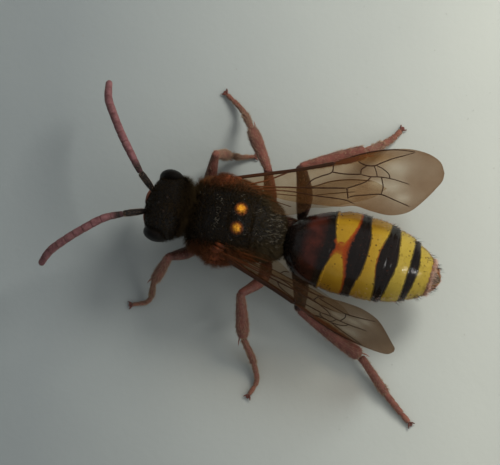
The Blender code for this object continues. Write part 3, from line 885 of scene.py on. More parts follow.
def thorax_skin():
    """One skin with the plates' seams, and how brown and how much of a yellow spot it is."""
    rings = oval_rings(THORAX_RINGS, rows=240, sides=260, upright=False, blunt=0.92)
    out = normals_of(rings)
    x, y, z = rings[..., 0], rings[..., 1], rings[..., 2]
    top = ease(out[..., 2], 0.15, 0.6)
    flank = ease(np.abs(out[..., 0]), 0.5, 0.8)
    scutellum = np.sqrt((x / 0.80) ** 2 + ((y - 0.09) / 0.44) ** 2)
    relief = 0.09 * np.clip(1 - scutellum, 0, 1) ** 0.7 * top
    relief -= 0.035 * hill(scutellum - 1.06, 0.07) * top  # the groove round it
    spot = np.zeros_like(x)
    for across, along in SPOT_PLACES:
        away = np.hypot(x - across, y - along)
        relief += 0.05 * hill(away, 0.24) * top
        spot = np.maximum(spot, 1 - 0.5 * away / SPOT_RADIUS)
    relief -= 0.04 * hill(y + 1.42 - 0.42 * (x / 1.1) ** 2, 0.035) * top  # seam of the collar
    relief -= 0.03 * hill(y - 0.57, 0.03) * top + 0.045 * hill(y - 0.80, 0.04)
    relief += 0.03 * hill(y - 0.68, 0.07) * top  # the plate between those two seams
    relief -= 0.016 * hill(np.abs(x) - 0.62, 0.018) * hill(y + 0.55, 0.3) * top  # side lines
    relief -= 0.018 * hill(x, 0.02) * hill(y + 1.05, 0.28) * top  # middle line
    relief -= 0.05 * hill(y + 1.02 - 0.25 * (z - 2.4), 0.05) * flank
    relief += 0.04 * mound((y + 0.2) / 0.55, (z - 2.2) / 0.6) * flank
    relief -= 0.03 * hill(x, 0.03) * ease(-out[..., 2], 0.3, 0.7)  # middle line beneath
    triangle = ease(0.62 * (1.55 - y) / 0.7 - np.abs(x), -0.03, 0.08) * ease(y, 0.82, 0.9) * top
    relief -= 0.03 * triangle  # the smoother field at the rear
    lobe = np.sqrt((np.abs(x) - 1.13) ** 2 + (y + 1.00) ** 2 + (z - 2.98) ** 2)
    relief += 0.07 * hill(lobe, 0.14)
    relief -= 0.024 * pits(rings, 0.082) * (1 - 0.7 * triangle)
    relief += 0.008 * roughness(rings, 0.07) + 0.012 * roughness(rings, 0.25)
    browns = (
        0.9 * hill(lobe, 0.24),
        0.85 * (hill(y + 0.55, 0.95) * hill(z - 2.85, 0.42) * flank),
        0.75 * hill(y + 0.35, 0.7) * hill(z - 1.75, 0.45) * flank,
    )
    skin = bent(rings + out * relief[..., None])
    return skin, np.maximum.reduce(browns), np.clip(spot * top, 0, 1)


def add_thorax(cuticle):
    """The thorax, the tegulae and the wing roots; the skins are for their hair."""
    skin, brown, spot = thorax_skin()
    plates = ("pronotum", "mesothorax", "propodeum", "scutellum")
    add_body("thorax_skin", skin, cuticle["black"], "black_cuticle", *plates, brown=brown, spot=spot)
    shells = []
    for name, side in SIDES.items():
        dome = ball_rings(TEGULA_RADII, rows=30, sides=44)
        rim = ease(side * dome[..., 0] / TEGULA_RADII[0], 0.35, 0.9)
        shell = moved(dome, TEGULA_CENTRES[name], turned(y=side * TEGULA_SLOPE))
        form = Form("rim")
        form.add_rings(shell, (0.0, 0.0, 1.0, 0.6), rim=rim)
        for number, (place, radii) in enumerate(WING_ROOTS):
            lump = moved(ball_rings(radii, rows=18, sides=24), np.array(place) * (1, side, 1))
            tile = (number / len(WING_ROOTS), 0.6, (number + 1) / len(WING_ROOTS), 1.0)
            form.add_rings(on_wing(lump, name), tile)
        form.piece(f"tegula_{name}_shell", cuticle["shell"], "red_cuticle", f"tegula_{name}")
        shells.append(shell)
    return skin, shells


# ---------------------------------------------------------------- abdomen

# Bands of yellow: front edge and rear edge, as (how far round from the midline, place along)
YELLOW_BANDS = (
    (
        ((0.0, -0.20), (0.13, -0.31), (0.27, -0.41), (0.45, -0.49), (0.80, -0.50), (1.30, -0.45)),
        ((0.0, 0.00), (0.11, 0.04), (0.22, 0.14), (0.39, 0.28), (0.56, 0.35), (1.30, 0.37)),
    ),
    (
        ((0.0, 0.99), (0.20, 0.97), (0.33, 0.94), (0.48, 0.86), (0.70, 0.82), (1.30, 0.88)),
        ((0.0, 1.34), (0.13, 1.36), (0.26, 1.43), (0.44, 1.53), (0.65, 1.59), (1.30, 1.60)),
    ),
    (
        ((0.0, 2.18), (0.16, 2.15), (0.31, 2.10), (0.50, 2.06), (0.70, 2.02), (1.30, 2.06)),
        ((0.0, 2.62), (0.50, 2.62), (1.30, 2.64)),
    ),
    (
        ((0.0, 3.05), (0.20, 3.02), (0.40, 2.98), (0.60, 2.93), (1.30, 2.90)),
        ((0.0, 3.53), (0.50, 3.52), (1.30, 3.48)),
    ),
)
# Depth of the red behind the first band, by how far round
RED_MARGIN = ((0.0, 0.22), (0.15, 0.20), (0.27, 0.13), (0.45, 0.09), (1.30, 0.06))
ABDOMEN_SIDES = 200
TUCK = 0.22  # how far each segment reaches in under the one before
STEP = 0.045  # how much slimmer it comes out from under it
# Last rings, as (place past the end, half width): a rolled rim, less than before, or the tip
ROLLED_RIM = ((0.022, -0.008), (0.030, -0.030), (0.020, -0.070))
TIP = ((0.03, 0.14), (0.045, 0.05))
WAIST_ROUTE = ((0.0, 1.62, 2.20), (0.0, 1.86, 2.24), (0.02, 2.06, 2.22))
WAIST_WIDTHS = ((0.0, 0.34), (0.5, 0.22), (1.0, 0.30))


def band_weights(along, side):
    """Shares of each colour at a place: mm along the abdomen, and 0 on its back to 2 beneath."""
    bands, starts, ends = [], [], []
    for front, rear in YELLOW_BANDS:
        start, end = smooth(front, side)[..., 0], smooth(rear, side)[..., 0]
        bands.append(ease(along, start - 0.07, start + 0.07) * ease(-along, -end - 0.07, -end + 0.07))
        starts.append(start)
        ends.append(end)
    bands[0] = bands[0] * (1 - 0.9 * (1 - ease(side, 0.02, 0.17)))
    margin = smooth(RED_MARGIN, side)[..., 0]
    before = ease(along, starts[0] - 0.18, starts[0]) * (1 - ease(side, 0.06, 0.24))
    inside = ease(along, starts[0] + 0.04, starts[0] + 0.12)
    after = ease(-along, -ends[0] - 1.25 * margin - 0.05, -ends[0] - 0.3 * margin)
    second = 0.7 * ease(along, starts[1], ends[1]) * ease(-along, -ends[1] - 0.10, -ends[1])
    plate = ease(along, 3.62, 3.68) * (1 - ease(side, 0.30, 0.42))
    reds = (
        np.maximum(before, inside) * after,
        second * (1 - ease(side, 0.1, 0.5)),
        0.9 * ease(along, 3.50, 3.55) * (1 - plate),
    )
    bands.append(0.44 * ease(along, 3.56, 3.62) * (1 - plate))
    beneath = ease(side, 1.25, 1.5)
    brown = ease(along, -1.66, -1.24) * ease(-along, 0.66, 1.00)
    return {
        "yellow": np.maximum.reduce(bands) * (1 - 0.75 * beneath),
        "red": np.maximum.reduce(reds) * (1 - beneath),
        "brown": np.maximum(brown, 0.9 * beneath),
        "lemon": ease(along, 0.6, 2.4),
        "clay": plate,
    }


def abdomen_half_width(along):
    front = np.clip((ABDOMEN_WIDEST - along) / FRONT_REACH, 0, 0.999)
    rear = np.clip((along - ABDOMEN_WIDEST) / REAR_REACH, 0, 0.999)
    return ABDOMEN_HALF_WIDTH * (1 - front**FRONT_FULLNESS) ** 0.45 * (1 - rear**REAR_FULLNESS) ** 0.64


def segment_profile(start, end, first, last):
    """Places along one segment and half widths there, from under the one before to its rim."""
    along = np.linspace(start - (0.10 if first else TUCK), end, 26 + int(34 * (end - start)))
    widths = abdomen_half_width(along)
    if not first:
        widths = widths - STEP * (1 - 0.75 * ease(along, start, start + 0.5))
        widths = widths - 0.10 * ease(-along, -start, TUCK - start)
    if not last:
        widths = widths - 0.016 * hill(along - end + 0.17, 0.05)
    past, half = np.array(TIP if last else ROLLED_RIM).T
    return np.append(along, end + past), np.append(widths, half if last else widths[-1] + half)


def segment_skin(start, end, first, last):
    """Rings of one segment, with each point's place along and how far round it lies."""
    along, widths = segment_profile(start, end, first, last)
    turns = circle(ABDOMEN_SIDES)
    side = np.abs((turns - pi / 2 + pi) % tau - pi) / (pi / 2)
    flat = ABDOMEN_FLATNESS * np.where(np.sin(turns) > 0, 1.0, 0.90)
    if last:
        flat = flat * (1 - 0.35 * ease(along, start, end)[:, None])
    x = widths[:, None] * np.cos(turns)
    height = widths[:, None] * flat * np.sin(turns)
    along, side = np.broadcast_arrays(along[:, None], side[None])
    rings = np.stack((x, -height, along), axis=-1)
    seam = hill(side - 1.33, 0.03) * ease(along, along[0, 0], start + 0.1)
    relief = -0.03 * seam + 0.005 * roughness(rings, 0.7)
    rings = rings + normals_of(rings) * relief[..., None]
    turn = turned(x=-90 - ABDOMEN_DROOP, z=ABDOMEN_TURN)
    return bent(moved(rings, ABDOMEN_CENTRE, turn)), along, side


def add_abdomen(cuticle):
    """Six overlapping segments, each a closed body with a rolled rear edge, and the waist."""
    skins = []
    for number, (start, end) in enumerate(zip(SEGMENT_EDGES, SEGMENT_EDGES[1:])):
        first, last = number == 0, end == SEGMENT_EDGES[-1]
        skin, along, side = segment_skin(start, end, first, last)
        name, node = f"tergite_{number + 1}", f"abdomen_{number + 1}"
        weights = band_weights(along, side)
        add_body(name, skin, cuticle["banded"], "banded_cuticle", node, **weights)
        skins.append((skin, along, side, ease(along, start + 0.02, start + 0.12)))
    waist = bent(hard_segment(WAIST_ROUTE, WAIST_WIDTHS, rows=20, sides=28))
    add_body("waist", waist, cuticle["black"], "black_cuticle", brown=0.0, spot=0.0)
    return skins


# ---------------------------------------------------------------- wings

# Outlines from the base to the tip, as (distance along the wing, distance towards the rear)
FOREWING_FRONT = (
    (-0.05, -0.34), (1.35, -0.48), (2.30, -0.57), (3.85, -0.82), (4.75, -1.12), (5.50, -1.27),
    (6.20, -1.32), (6.95, -1.24), (7.52, -0.98), (7.86, -0.60), (7.96, -0.16),
)
FOREWING_REAR = (
    (0.0, 0.12), (0.90, 0.38), (2.00, 0.75), (3.05, 0.97), (3.96, 1.10), (4.42, 1.08),
    (5.10, 1.32), (5.85, 1.51), (6.45, 1.42), (7.08, 1.00), (7.60, 0.50), (7.88, 0.14), (7.96, -0.16),
)
HINDWING_FRONT = (
    (0.40, 0.06), (1.60, 0.02), (3.00, 0.05), (3.60, -0.12), (4.60, -0.16), (5.30, -0.04), (5.75, 0.28),
)
HINDWING_REAR = (
    (0.40, 0.36), (1.00, 0.84), (1.70, 1.22), (2.40, 1.18), (2.75, 1.00), (3.40, 1.00),
    (4.40, 0.84), (5.30, 0.60), (5.75, 0.28),
)
FOREWING_LEVEL = -0.15
HINDWING_LEVEL = -0.37
FILM_THICKNESS = 0.014
VEIN_STOUTNESS = 1.05

# Veins as (radius, points)
FOREWING_VEINS = (
    (
        0.068,
        ((-0.08, -0.31), (0.60, -0.38), (1.35, -0.455), (2.30, -0.55), (3.30, -0.70), (3.88, -0.81)),
    ),
    (0.030, ((0.12, 0.02), (0.70, -0.04), (1.28, -0.17), (1.65, -0.31), (2.05, -0.48))),
    (0.026, ((3.86, -0.82), (4.75, -1.11), (5.50, -1.255), (6.20, -1.28), (6.95, -1.16))),
    (0.028, ((0.05, 0.02), (1.30, 0.14), (2.30, 0.21), (3.20, 0.26), (4.22, 0.31))),
    (0.024, ((3.78, -0.76), (3.70, -0.40), (3.30, -0.24), (2.93, -0.08), (2.66, 0.23))),
    (0.024, ((3.70, -0.40), (4.15, -0.29), (4.78, -0.24))),
    (0.020, ((4.78, -0.24), (5.17, -0.12), (5.40, -0.11), (5.87, -0.02), (6.62, 0.27))),
    (0.022, ((4.78, -0.24), (4.82, -0.45), (5.02, -0.60))),
    (0.018, ((5.31, -0.60), (5.38, -0.30), (5.40, -0.11))),
    (0.020, ((5.40, -0.61), (5.67, -0.41), (5.87, -0.12), (5.87, -0.02))),
    (0.022, ((4.22, 0.31), (4.70, 0.17), (4.99, 0.05), (5.17, -0.12))),
    (0.020, ((5.56, -0.08), (5.59, 0.36), (5.50, 0.64))),
    (0.026, ((4.22, 0.31), (4.24, 0.77))),
    (0.022, ((4.24, 0.72), (4.40, 0.67), (4.90, 0.64), (5.50, 0.65), (5.95, 0.88), (6.58, 1.20))),
    (
        0.022,
        (
            (0.05, 0.10), (1.30, 0.26), (2.30, 0.40), (3.03, 0.58), (3.60, 0.69),
            (4.20, 0.85), (4.50, 1.02),
        ),
    ),
    (
        0.024,
        (
            (4.70, -0.86), (4.92, -0.68), (5.30, -0.60), (5.62, -0.73), (6.08, -0.91),
            (6.50, -1.02), (6.95, -1.15),
        ),
    ),
)
HINDWING_VEINS = (
    (0.022, ((0.50, 0.10), (1.60, 0.05), (3.00, 0.08), (3.60, -0.09), (4.60, -0.13), (5.20, -0.05))),
    (0.018, ((0.60, 0.20), (1.60, 0.34), (2.60, 0.46), (3.60, 0.40), (4.60, 0.36))),
    (0.018, ((2.60, 0.46), (2.66, 0.74), (2.80, 0.90))),
    (0.016, ((0.60, 0.28), (1.40, 0.60), (2.10, 0.90))),
)
# The front edge of the left forewing, rolled under along its base
ROLLED_EDGE = (0.12, ((0.30, -0.22), (1.35, -0.34), (2.30, -0.44), (3.20, -0.57), (3.80, -0.72)))
STIGMA = ((3.84, -0.80), (4.10, -0.84), (4.45, -0.90), (4.78, -0.99))
STIGMA_WIDTHS = ((0.0, 0.04), (0.45, 0.125), (0.8, 0.10), (1.0, 0.03))
# Pale windows in the smoky skin: (along, rearward, half length, half width)
WINDOWS = (
    (6.10, -0.50, 0.55, 0.42),
    (5.95, 0.36, 0.45, 0.26),
    (5.32, 0.16, 0.30, 0.16),
    (6.30, 0.85, 0.35, 0.20),
    (1.80, 0.75, 0.80, 0.25),
)
VEIN_POINTS = 60
STOUT_RADIUS = 0.1  # of a vein as dark as the first
WINGS = {
    "forewing": (FOREWING_FRONT, FOREWING_REAR, FOREWING_LEVEL, FOREWING_VEINS),
    "hindwing": (HINDWING_FRONT, HINDWING_REAR, HINDWING_LEVEL, HINDWING_VEINS),
}


def wing_smoke(along, rearward, edge, folded):
    """How much the skin hides, from its base to the darker outer rim; folded wings hide more."""
    smoke = 0.18 + 0.10 * ease(along, 2.0, 3.6) + 0.26 * ease(along, 4.0, 4.8)
    smoke = smoke + 0.14 * ease(along, 6.0, 7.3) + 0.12 * ease(edge, 0.75, 1.0)
    smoke = smoke + folded * (0.40 * (1 - ease(along, 1.6, 3.6)) + 0.12 * ease(along, 5.5, 7.0) - 0.08)
    leading = np.interp(along, *np.array(FOREWING_FRONT).T)
    smoke = smoke + folded * 0.7 * hill(rearward - leading, 0.34) * (1 - ease(along, 3.4, 4.6))
    for place, beside, half, deep in WINDOWS:
        smoke = smoke - 0.42 * mound((along - place) / half, (rearward - beside) / deep)
    marginal = mound((along - 5.5) / 0.9, (rearward + 0.98) / 0.20)
    return np.clip(smoke + 0.22 * marginal, 0.03, 0.95)


def wing_amber(along, rearward):
    marginal = mound((along - 5.35) / 0.8, (rearward + 0.92) / 0.26)
    return np.clip(0.50 - 0.34 * ease(along, 4.2, 6.5) + 0.6 * marginal, 0, 1)


def film_height(along, rearward):
    """A little camber, with fine folds that fan out towards the outer rim."""
    fan = np.sin(9.0 * np.arctan2(rearward + 0.4, np.maximum(along - 1.0, 0.3)) * (1 + 0.6 * along / 8))
    ripple = np.sin(5.2 * rearward + 0.6 * along) * 0.018
    return 0.03 * ease(along, 4.6, 7.0) * fan * 0.7 + ripple - 0.03 * (rearward - 0.2) ** 2


def on_wing(rings, name):
    """Rings in a wing's own frame, put in the bee's."""
    base, heading, pitch, roll = WING_PLACES[name]
    return moved(rings, base, turned(SIDES[name] * roll, pitch, heading))


def flat_route(points, steps):
    """A route through points of a wing's outline or veins, at no height."""
    return route(np.column_stack((points, np.zeros(len(points)))), steps)


def on_film(points, steps, level):
    """A route that follows the film's height."""
    line = flat_route(points, steps)
    line[:, 2] = level + film_height(line[:, 0], line[:, 1])
    return line


def film_rings(front, rear, level, rows=150, sides=60):
    """Rings round each chord, over the top to the rear edge and back, and how near the rim they lie."""
    ahead = flat_route(front, rows)[:, None, :2]
    behind = flat_route(rear, rows)[:, None, :2]
    half = sides // 2
    across = (1 - np.cos(np.linspace(0, pi, half))) / 2
    share = np.concatenate((across, across[::-1]))[None, :, None]
    spots = ahead * (1 - share) + behind * share
    lift = np.sqrt(np.clip(1 - (2 * share[..., 0] - 1) ** 2, 0, 1)) + 0.08
    facing = np.concatenate((np.ones(half), -np.ones(half)))[None]
    height = level + film_height(spots[..., 0], spots[..., 1])
    height = height + FILM_THICKNESS / 2 * facing * lift.clip(0, 1)
    edge = np.maximum(np.abs(2 * share[..., 0] - 1), np.linspace(0, 1, rows)[:, None] ** 2)
    return np.concatenate((spots, height[..., None]), axis=-1), edge


def add_film(wing, name, material):
    front, rear, level = WINGS[wing][:3]
    rings, edge = film_rings(front, rear, level)
    along, rearward = rings[..., 0], rings[..., 1]
    amber = wing_amber(along, rearward)
    if wing == "forewing":
        smoke = wing_smoke(along, rearward, edge, float(name == "left"))
    else:
        smoke, amber = 0.02 + 0.05 * edge, 0.3 * amber
    film, node = on_wing(rings * (1, SIDES[name], 1), name), f"{wing}_{name}"
    add_body(f"{node}_film", film, material, "wing_membrane", node, smoke=smoke, amber=amber)


def add_veins(wing, name, material):
    """Veins along the film, thinner towards its outer rim, and the stigma."""
    level, veins = WINGS[wing][2:]
    if (wing, name) == ("forewing", "left"):
        veins = (*veins, ROLLED_EDGE)
    mirror = (1, SIDES[name], 1)
    strips = len(veins) + 1
    rise = np.linspace(0, VEIN_POINTS / 2, VEIN_POINTS)
    ends = np.clip(rise, 0.15, 1) * np.clip(rise[::-1], 0.15, 1)
    form = Form("amber")
    for number, (radius, points) in enumerate(veins):
        line = on_film(points, VEIN_POINTS, level)
        thin = VEIN_STOUTNESS * (1 - 0.45 * ease(line[:, 0], 5.6, 7.0))
        tube = tube_rings(line, radius * thin * ends, sides=10, squash=0.8)
        stout = number == 0 or radius > STOUT_RADIUS
        warm = (0.15 if stout else 0.75) * (1 - ease(line[:, 0], 0.7, 2.8))
        tile = (0.0, number / strips, 1.0, (number + 0.9) / strips)
        form.add_rings(on_wing(tube * mirror, name), tile, amber=warm[:, None])
    if wing == "forewing":
        widths = smooth(STIGMA_WIDTHS, np.linspace(0, 1, 40))[:, 0]
        stigma = tube_rings(on_film(STIGMA, 40, level), widths, sides=20, squash=0.26)
        form.add_rings(on_wing(stigma * mirror, name), (0.0, len(veins) / strips, 1.0, 1.0), amber=0.4)
    form.piece(f"{wing}_{name}_veins", material, "wing_membrane")


def add_wings(cuticle):
    for name in WING_PLACES:
        for wing in WINGS:
            add_film(wing, name, cuticle["film"])
            add_veins(wing, name, cuticle["vein"])


# ---------------------------------------------------------------- legs

COXA_WIDTHS = ((0.0, 0.26), (0.5, 0.25), (1.0, 0.14))
TROCHANTER_WIDTHS = ((0.0, 0.12), (0.5, 0.15), (1.0, 0.12))
THIGH_WIDTHS = ((0.0, 0.12), (0.12, 0.17), (0.35, 0.245), (0.6, 0.235), (0.85, 0.18), (1.0, 0.155))
THIGH_SCALE = {"fore": 0.92, "mid": 0.98, "hind": 1.25}
THIGH_TONE = {"fore": 0.24, "mid": 0.30, "hind": 0.02}
SHIN_WIDTHS = {
    "fore": ((0.0, 0.14), (0.12, 0.155), (0.45, 0.18), (0.8, 0.195), (1.0, 0.15)),
    "mid": ((0.0, 0.145), (0.10, 0.165), (0.45, 0.215), (0.82, 0.235), (1.0, 0.17)),
    "hind": ((0.0, 0.145), (0.10, 0.17), (0.40, 0.235), (0.80, 0.27), (0.95, 0.25), (1.0, 0.20)),
}
KNEE_OVERLAP = 0.07
HEEL_WIDTH = {"fore": 0.10, "mid": 0.13, "hind": 0.165}
TOE_WIDTH = {"fore": 0.088, "mid": 0.105, "hind": 0.135}
FOOT_SINK = 0.03  # how far below the ankle the foot begins
CLAWS_PLACE = 0.975  # share of the foot
TARSUS_SHARES = {
    "fore": (0.0, 0.42, 0.57, 0.69, 0.79, 0.97),
    "mid": (0.0, 0.46, 0.60, 0.71, 0.80, 0.97),
    "hind": (0.0, 0.54, 0.66, 0.75, 0.83, 0.97),
}
CLAW_WIDTHS = ((0.0, 0.042), (0.5, 0.030), (1.0, 0.008))
PAD_RADII = (0.075, 0.075, 0.035)
SPURS = {"fore": (1,), "mid": (1,), "hind": (1, -1)}
SPUR_LEAN = 0.45
SPUR_WIDTHS = ((0.0, 0.032), (0.5, 0.022), (1.0, 0.006))


def tarsus_rings(line, start, end, wide, narrow, last):
    """One ring of the foot: slim at its root and flared at its end, the last one long and even."""
    shares = np.clip(np.linspace(start - 0.010, end + 0.006, 12), 0, 1)
    if last:
        widths = ((0.0, 0.66 * narrow), (0.6, narrow), (1.0, 0.85 * narrow))
    else:
        widths = ((0.0, 0.84 * wide), (0.25, 0.90 * wide), (0.8, wide), (1.0, 0.95 * wide))
    points = points_at(line, shares)
    return hard_segment(points, widths, rows=22, sides=16, squash=0.85, round_ends=(0.05, 0.05))


def claw_rings(root, way, side):
    """One of the two curved claws at the end of a foot."""
    across = unit(np.cross(way, (0, 0, 1)))
    points = (
        root,
        root + 0.08 * way + side * 0.085 * across + (0, 0, 0.02),
        root + 0.15 * way + side * 0.14 * across,
        root + 0.17 * way + side * 0.15 * across - (0, 0, 0.05),
    )
    return hard_segment(points, CLAW_WIDTHS, rows=18, sides=10)


def spur_rings(ankle, down, way):
    """A spur beside the ankle; way is 1 or -1."""
    beside, lean = unit(np.cross(down, (0, 0, 1))), way * SPUR_LEAN
    root = ankle - 0.06 * down + beside * lean * 0.28 - (0, 0, 0.10)
    middle = root + 0.16 * down + 0.12 * lean * beside
    tip = root + 0.34 * down + 0.16 * lean * beside
    return hard_segment((root, middle, tip), SPUR_WIDTHS, rows=20, sides=10)


def add_thigh(leg, pair, joints, material):
    """Coxa, trochanter and femur; the first and the last are for their hair."""
    hip, trochanter, thigh, knee = joints
    way = unit(thigh - trochanter)
    middle = (hip + trochanter) / 2 + (0, 0, -0.03)
    coxa = hard_segment((hip, middle, trochanter), COXA_WIDTHS, rows=32, sides=24)
    points = (trochanter - 0.05 * way, trochanter + 0.12 * way, trochanter + 0.30 * way)
    ring = hard_segment(points, TROCHANTER_WIDTHS, rows=18, sides=20)
    points = (trochanter + 0.18 * way, thigh, knee + KNEE_OVERLAP * unit(knee - thigh))
    widths = [(share, width * THIGH_SCALE[pair]) for share, width in THIGH_WIDTHS]
    femur = hard_segment(points, widths, rows=56, sides=26, squash=0.92, round_ends=(0.05, 0.05))
    tone = THIGH_TONE[pair] + 0.18 * ease(np.linspace(0, 1, len(femur)), 0.80, 0.98)
    form = Form("tone")
    form.add_rings(coxa, (0.0, 0.0, 1.0, 0.25), tone=0.06)
    form.add_rings(ring, (0.0, 0.25, 1.0, 0.35), tone=0.25)
    form.add_rings(femur, (0.0, 0.35, 1.0, 1.0), tone=tone[:, None])
    form.piece(f"leg_{leg}_thigh", material, "leg_cuticle", f"{leg}_coxa", f"{leg}_femur")
    return [coxa, femur]


def add_shin(leg, pair, knee, foot, material):
    """Tibia, tarsus, claws, pad and spurs; the first two are for their hair."""
    ankle = foot[0]
    down = unit(ankle - knee)
    points = (knee - KNEE_OVERLAP * down, (knee + ankle) / 2 + (0, 0, 0.02), ankle)
    widths = SHIN_WIDTHS[pair]
    tibia = hard_segment(points, widths, rows=60, sides=26, squash=0.9, round_ends=(0.05, 0.06))
    share = np.linspace(0, 1, len(tibia))
    tone = 0.52 - 0.12 * ease(share, 0.04, 0.30) + 0.16 * ease(share, 0.82, 1.0)
    form = Form("tone")
    form.add_rings(tibia, (0.0, 0.0, 1.0, 0.45), tone=tone[:, None])
    skins = [tibia]
    line = route(np.concatenate(([ankle - (0, 0, FOOT_SINK)], foot[1:])), 120)
    shares = TARSUS_SHARES[pair]
    for number, (start, end) in enumerate(zip(shares, shares[1:])):
        wide = TOE_WIDTH[pair] * (1 - 0.04 * number) if number else HEEL_WIDTH[pair]
        rings = tarsus_rings(line, start, end, wide, 0.78 * TOE_WIDTH[pair], end == shares[-1])
        tile = (0.0, 0.45 + 0.08 * number, 1.0, 0.45 + 0.08 * (number + 1))
        form.add_rings(rings, tile, tone=0.44 + 0.04 * number)
        skins.append(rings)
    tip, way = line[int(CLAWS_PLACE * len(line))], unit(line[-1] - line[-12])
    for side in (-1, 1):
        tile = (0.0, 0.85 + 0.02 * side, 0.5, 0.87 + 0.02 * side)
        form.add_rings(claw_rings(tip, way, side), tile, tone=0.32)
    pad = moved(ball_rings(PAD_RADII, rows=10, sides=14), tip + 0.09 * way - (0, 0, 0.015))
    form.add_rings(pad, (0.5, 0.85, 1.0, 0.9), tone=0.35)
    for number, lean in enumerate(SPURS[pair]):
        tile = (0.0, 0.9 + 0.05 * number, 1.0, 0.95 + 0.05 * number)
        form.add_rings(spur_rings(ankle, down, lean), tile, tone=0.7)
    form.piece(f"leg_{leg}_shin", material, "leg_cuticle", f"{leg}_tibia", f"{leg}_tarsus")
    return skins


def add_legs(material):
    """Two pieces to a leg; the skins of each leg, from the hip down, are for their hair."""
    skins = {}
    for leg, joints in LEGS.items():
        pair = leg.split("_")[0]
        joints = np.array(joints)
        joints[5:, 2] -= FOOT_DROP
        skins[leg] = add_thigh(leg, pair, joints[:4], material)
        skins[leg] += add_shin(leg, pair, joints[3], joints[4:], material)
    return skins


# ---------------------------------------------------------------- the coat

# Layers of hair: (tufts on a skin, their width, lift in degrees, spread to both sides)
LAYERS = {
    "head": (9500, 0.011, 50, 0.5),
    "neck": (3600, 0.013, 66, 0.5),
    "thorax_front": (14000, 0.013, 52, 0.6),
    "thorax_flank": (8500, 0.013, 46, 0.7),
    "thorax_rear": (7500, 0.013, 44, 0.6),
    # The next layer: pale hairs that are partly real pale tufts and partly painted glints
    "thorax_pale_glint": (300, 0.014, 34, 0.7),
    "tegula": (1500, 0.012, 36, 0.8),
    "abdomen_flat": (1700, 0.009, 14, 0.25),
    "abdomen_front": (650, 0.012, 38, 0.6),
    "abdomen_rear": (260, 0.011, 32, 0.4),
    "spines": (80, 0.016, 42, 0.25),
    "hind_spines": (150, 0.016, 42, 0.25),
    "scape": (260, 0.008, 32, 0.3),
    "flagellum": (1500, 0.008, 32, 0.3),
}
SPINY = (2, 3)  # shin and heel, among the skins of a leg
# Down on each skin of a leg, from the hip: (tufts, length)
LEG_DOWN = (
    (240, 0.16), (420, 0.09), (900, 0.11), (620, 0.095),
    (210, 0.08), (190, 0.075), (170, 0.07), (150, 0.06),
)
# Fringes round the last two segments: (place along, width, tufts, length)
TIP_FRINGES = {4: (3.53, 0.05, 620, 0.20), 5: (3.72, 0.10, 170, 0.15)}


def add_head_hair(skin, material):
    """Sparse dark hair, longest behind the eyes and on the crown, and shortest on the face."""
    local = skin - HEAD_CENTRE
    up = ease(local[..., 2], -0.2, 0.9)
    front = ease(-local[..., 1], 0.2, 0.7)
    rear = ease(local[..., 1], 0.25, 0.6)
    density = 0.4 + 0.8 * up + 0.5 * front + 2.4 * rear
    length = 0.12 + 0.09 * up + 0.20 * rear - 0.05 * front
    add_layer("hair_head", material, skin, LAYERS["head"], density, length, way=-1)


def add_thorax_hair(skin, hair):
    """Dark hair on the back, brown hair along the flanks, grey-brown hair on the rear, and pale hairs
    that are partly real and partly painted glints.
    """
    x, y, z = np.abs(skin[..., 0]), skin[..., 1], skin[..., 2]
    spots = mound((x - 0.365) / 0.27, (y - 0.06) / 0.27) * ease(z, 3.4, 3.6)
    shoulder = ease(-y, 1.2, 1.6)
    behind = ease(-y, -0.75, -0.55)
    density = (1 - 0.9 * spots) * (0.06 + behind) * (0.6 + 0.4 * ease(z, 1.2, 2.6))
    length = 0.15 + 0.08 * ease(x, 0.75, 1.1) + 0.14 * shoulder
    coats = [("front", "dark", density, length)]
    band = hill(z - 2.75, 0.62) * ease(x, 0.9, 1.15) * ease(-y, -0.9, 0.1)
    low = ease(-z, -2.2, -1.6) * ease(-y, -1.0, -0.4)
    left = ease(skin[..., 0], 0.9, 1.2)
    density = band * (1 + 0.6 * shoulder + 0.5 * left) + 0.25 * low
    length = 0.26 + 0.06 * shoulder + 0.10 * left
    coats.append(("flank", "brown", density, length))
    rear, side = ease(y, 0.55, 0.85), ease(x, 0.5, 1.0)
    density = rear * (0.35 + side) + 0.3 * ease(-z, -2.2, -1.6) * ease(y, 0.2, 0.8)
    coats.append(("rear", "pale", density, 0.16 + 0.14 * (rear * side)))
    # Pale hairs behind the collar and on the rear slope: partly real pale tufts, partly painted glints
    # where the cuticle sparkles
    collar = hill(y + 0.86, 0.10) * ease(-x, -0.75, -0.45)
    slope = hill(y - 1.35, 0.30) * ease(z, 1.9, 2.3)
    density = collar * ease(z, 3.0, 3.4) + 0.7 * slope + 0.04 * ease(z, 2.8, 3.2)
    coats.append(("pale_glint", "pale_glint", density, 0.16))
    for name, colour, density, length in coats:
        layer = LAYERS[f"thorax_{name}"]
        add_layer(f"hair_thorax_{name}", hair[colour], skin, layer, density, length)


def add_tegula_hair(shells, material):
    form = Form("tip")
    for number, shell in enumerate(shells):
        tile = (0.0, number / 2, 1.0, number / 2 + 0.48)
        add_coat(form, shell, LAYERS["tegula"], None, 0.17 + 0.09 * number, tile)
    form.piece("hair_tegulae", material, "red_cuticle")


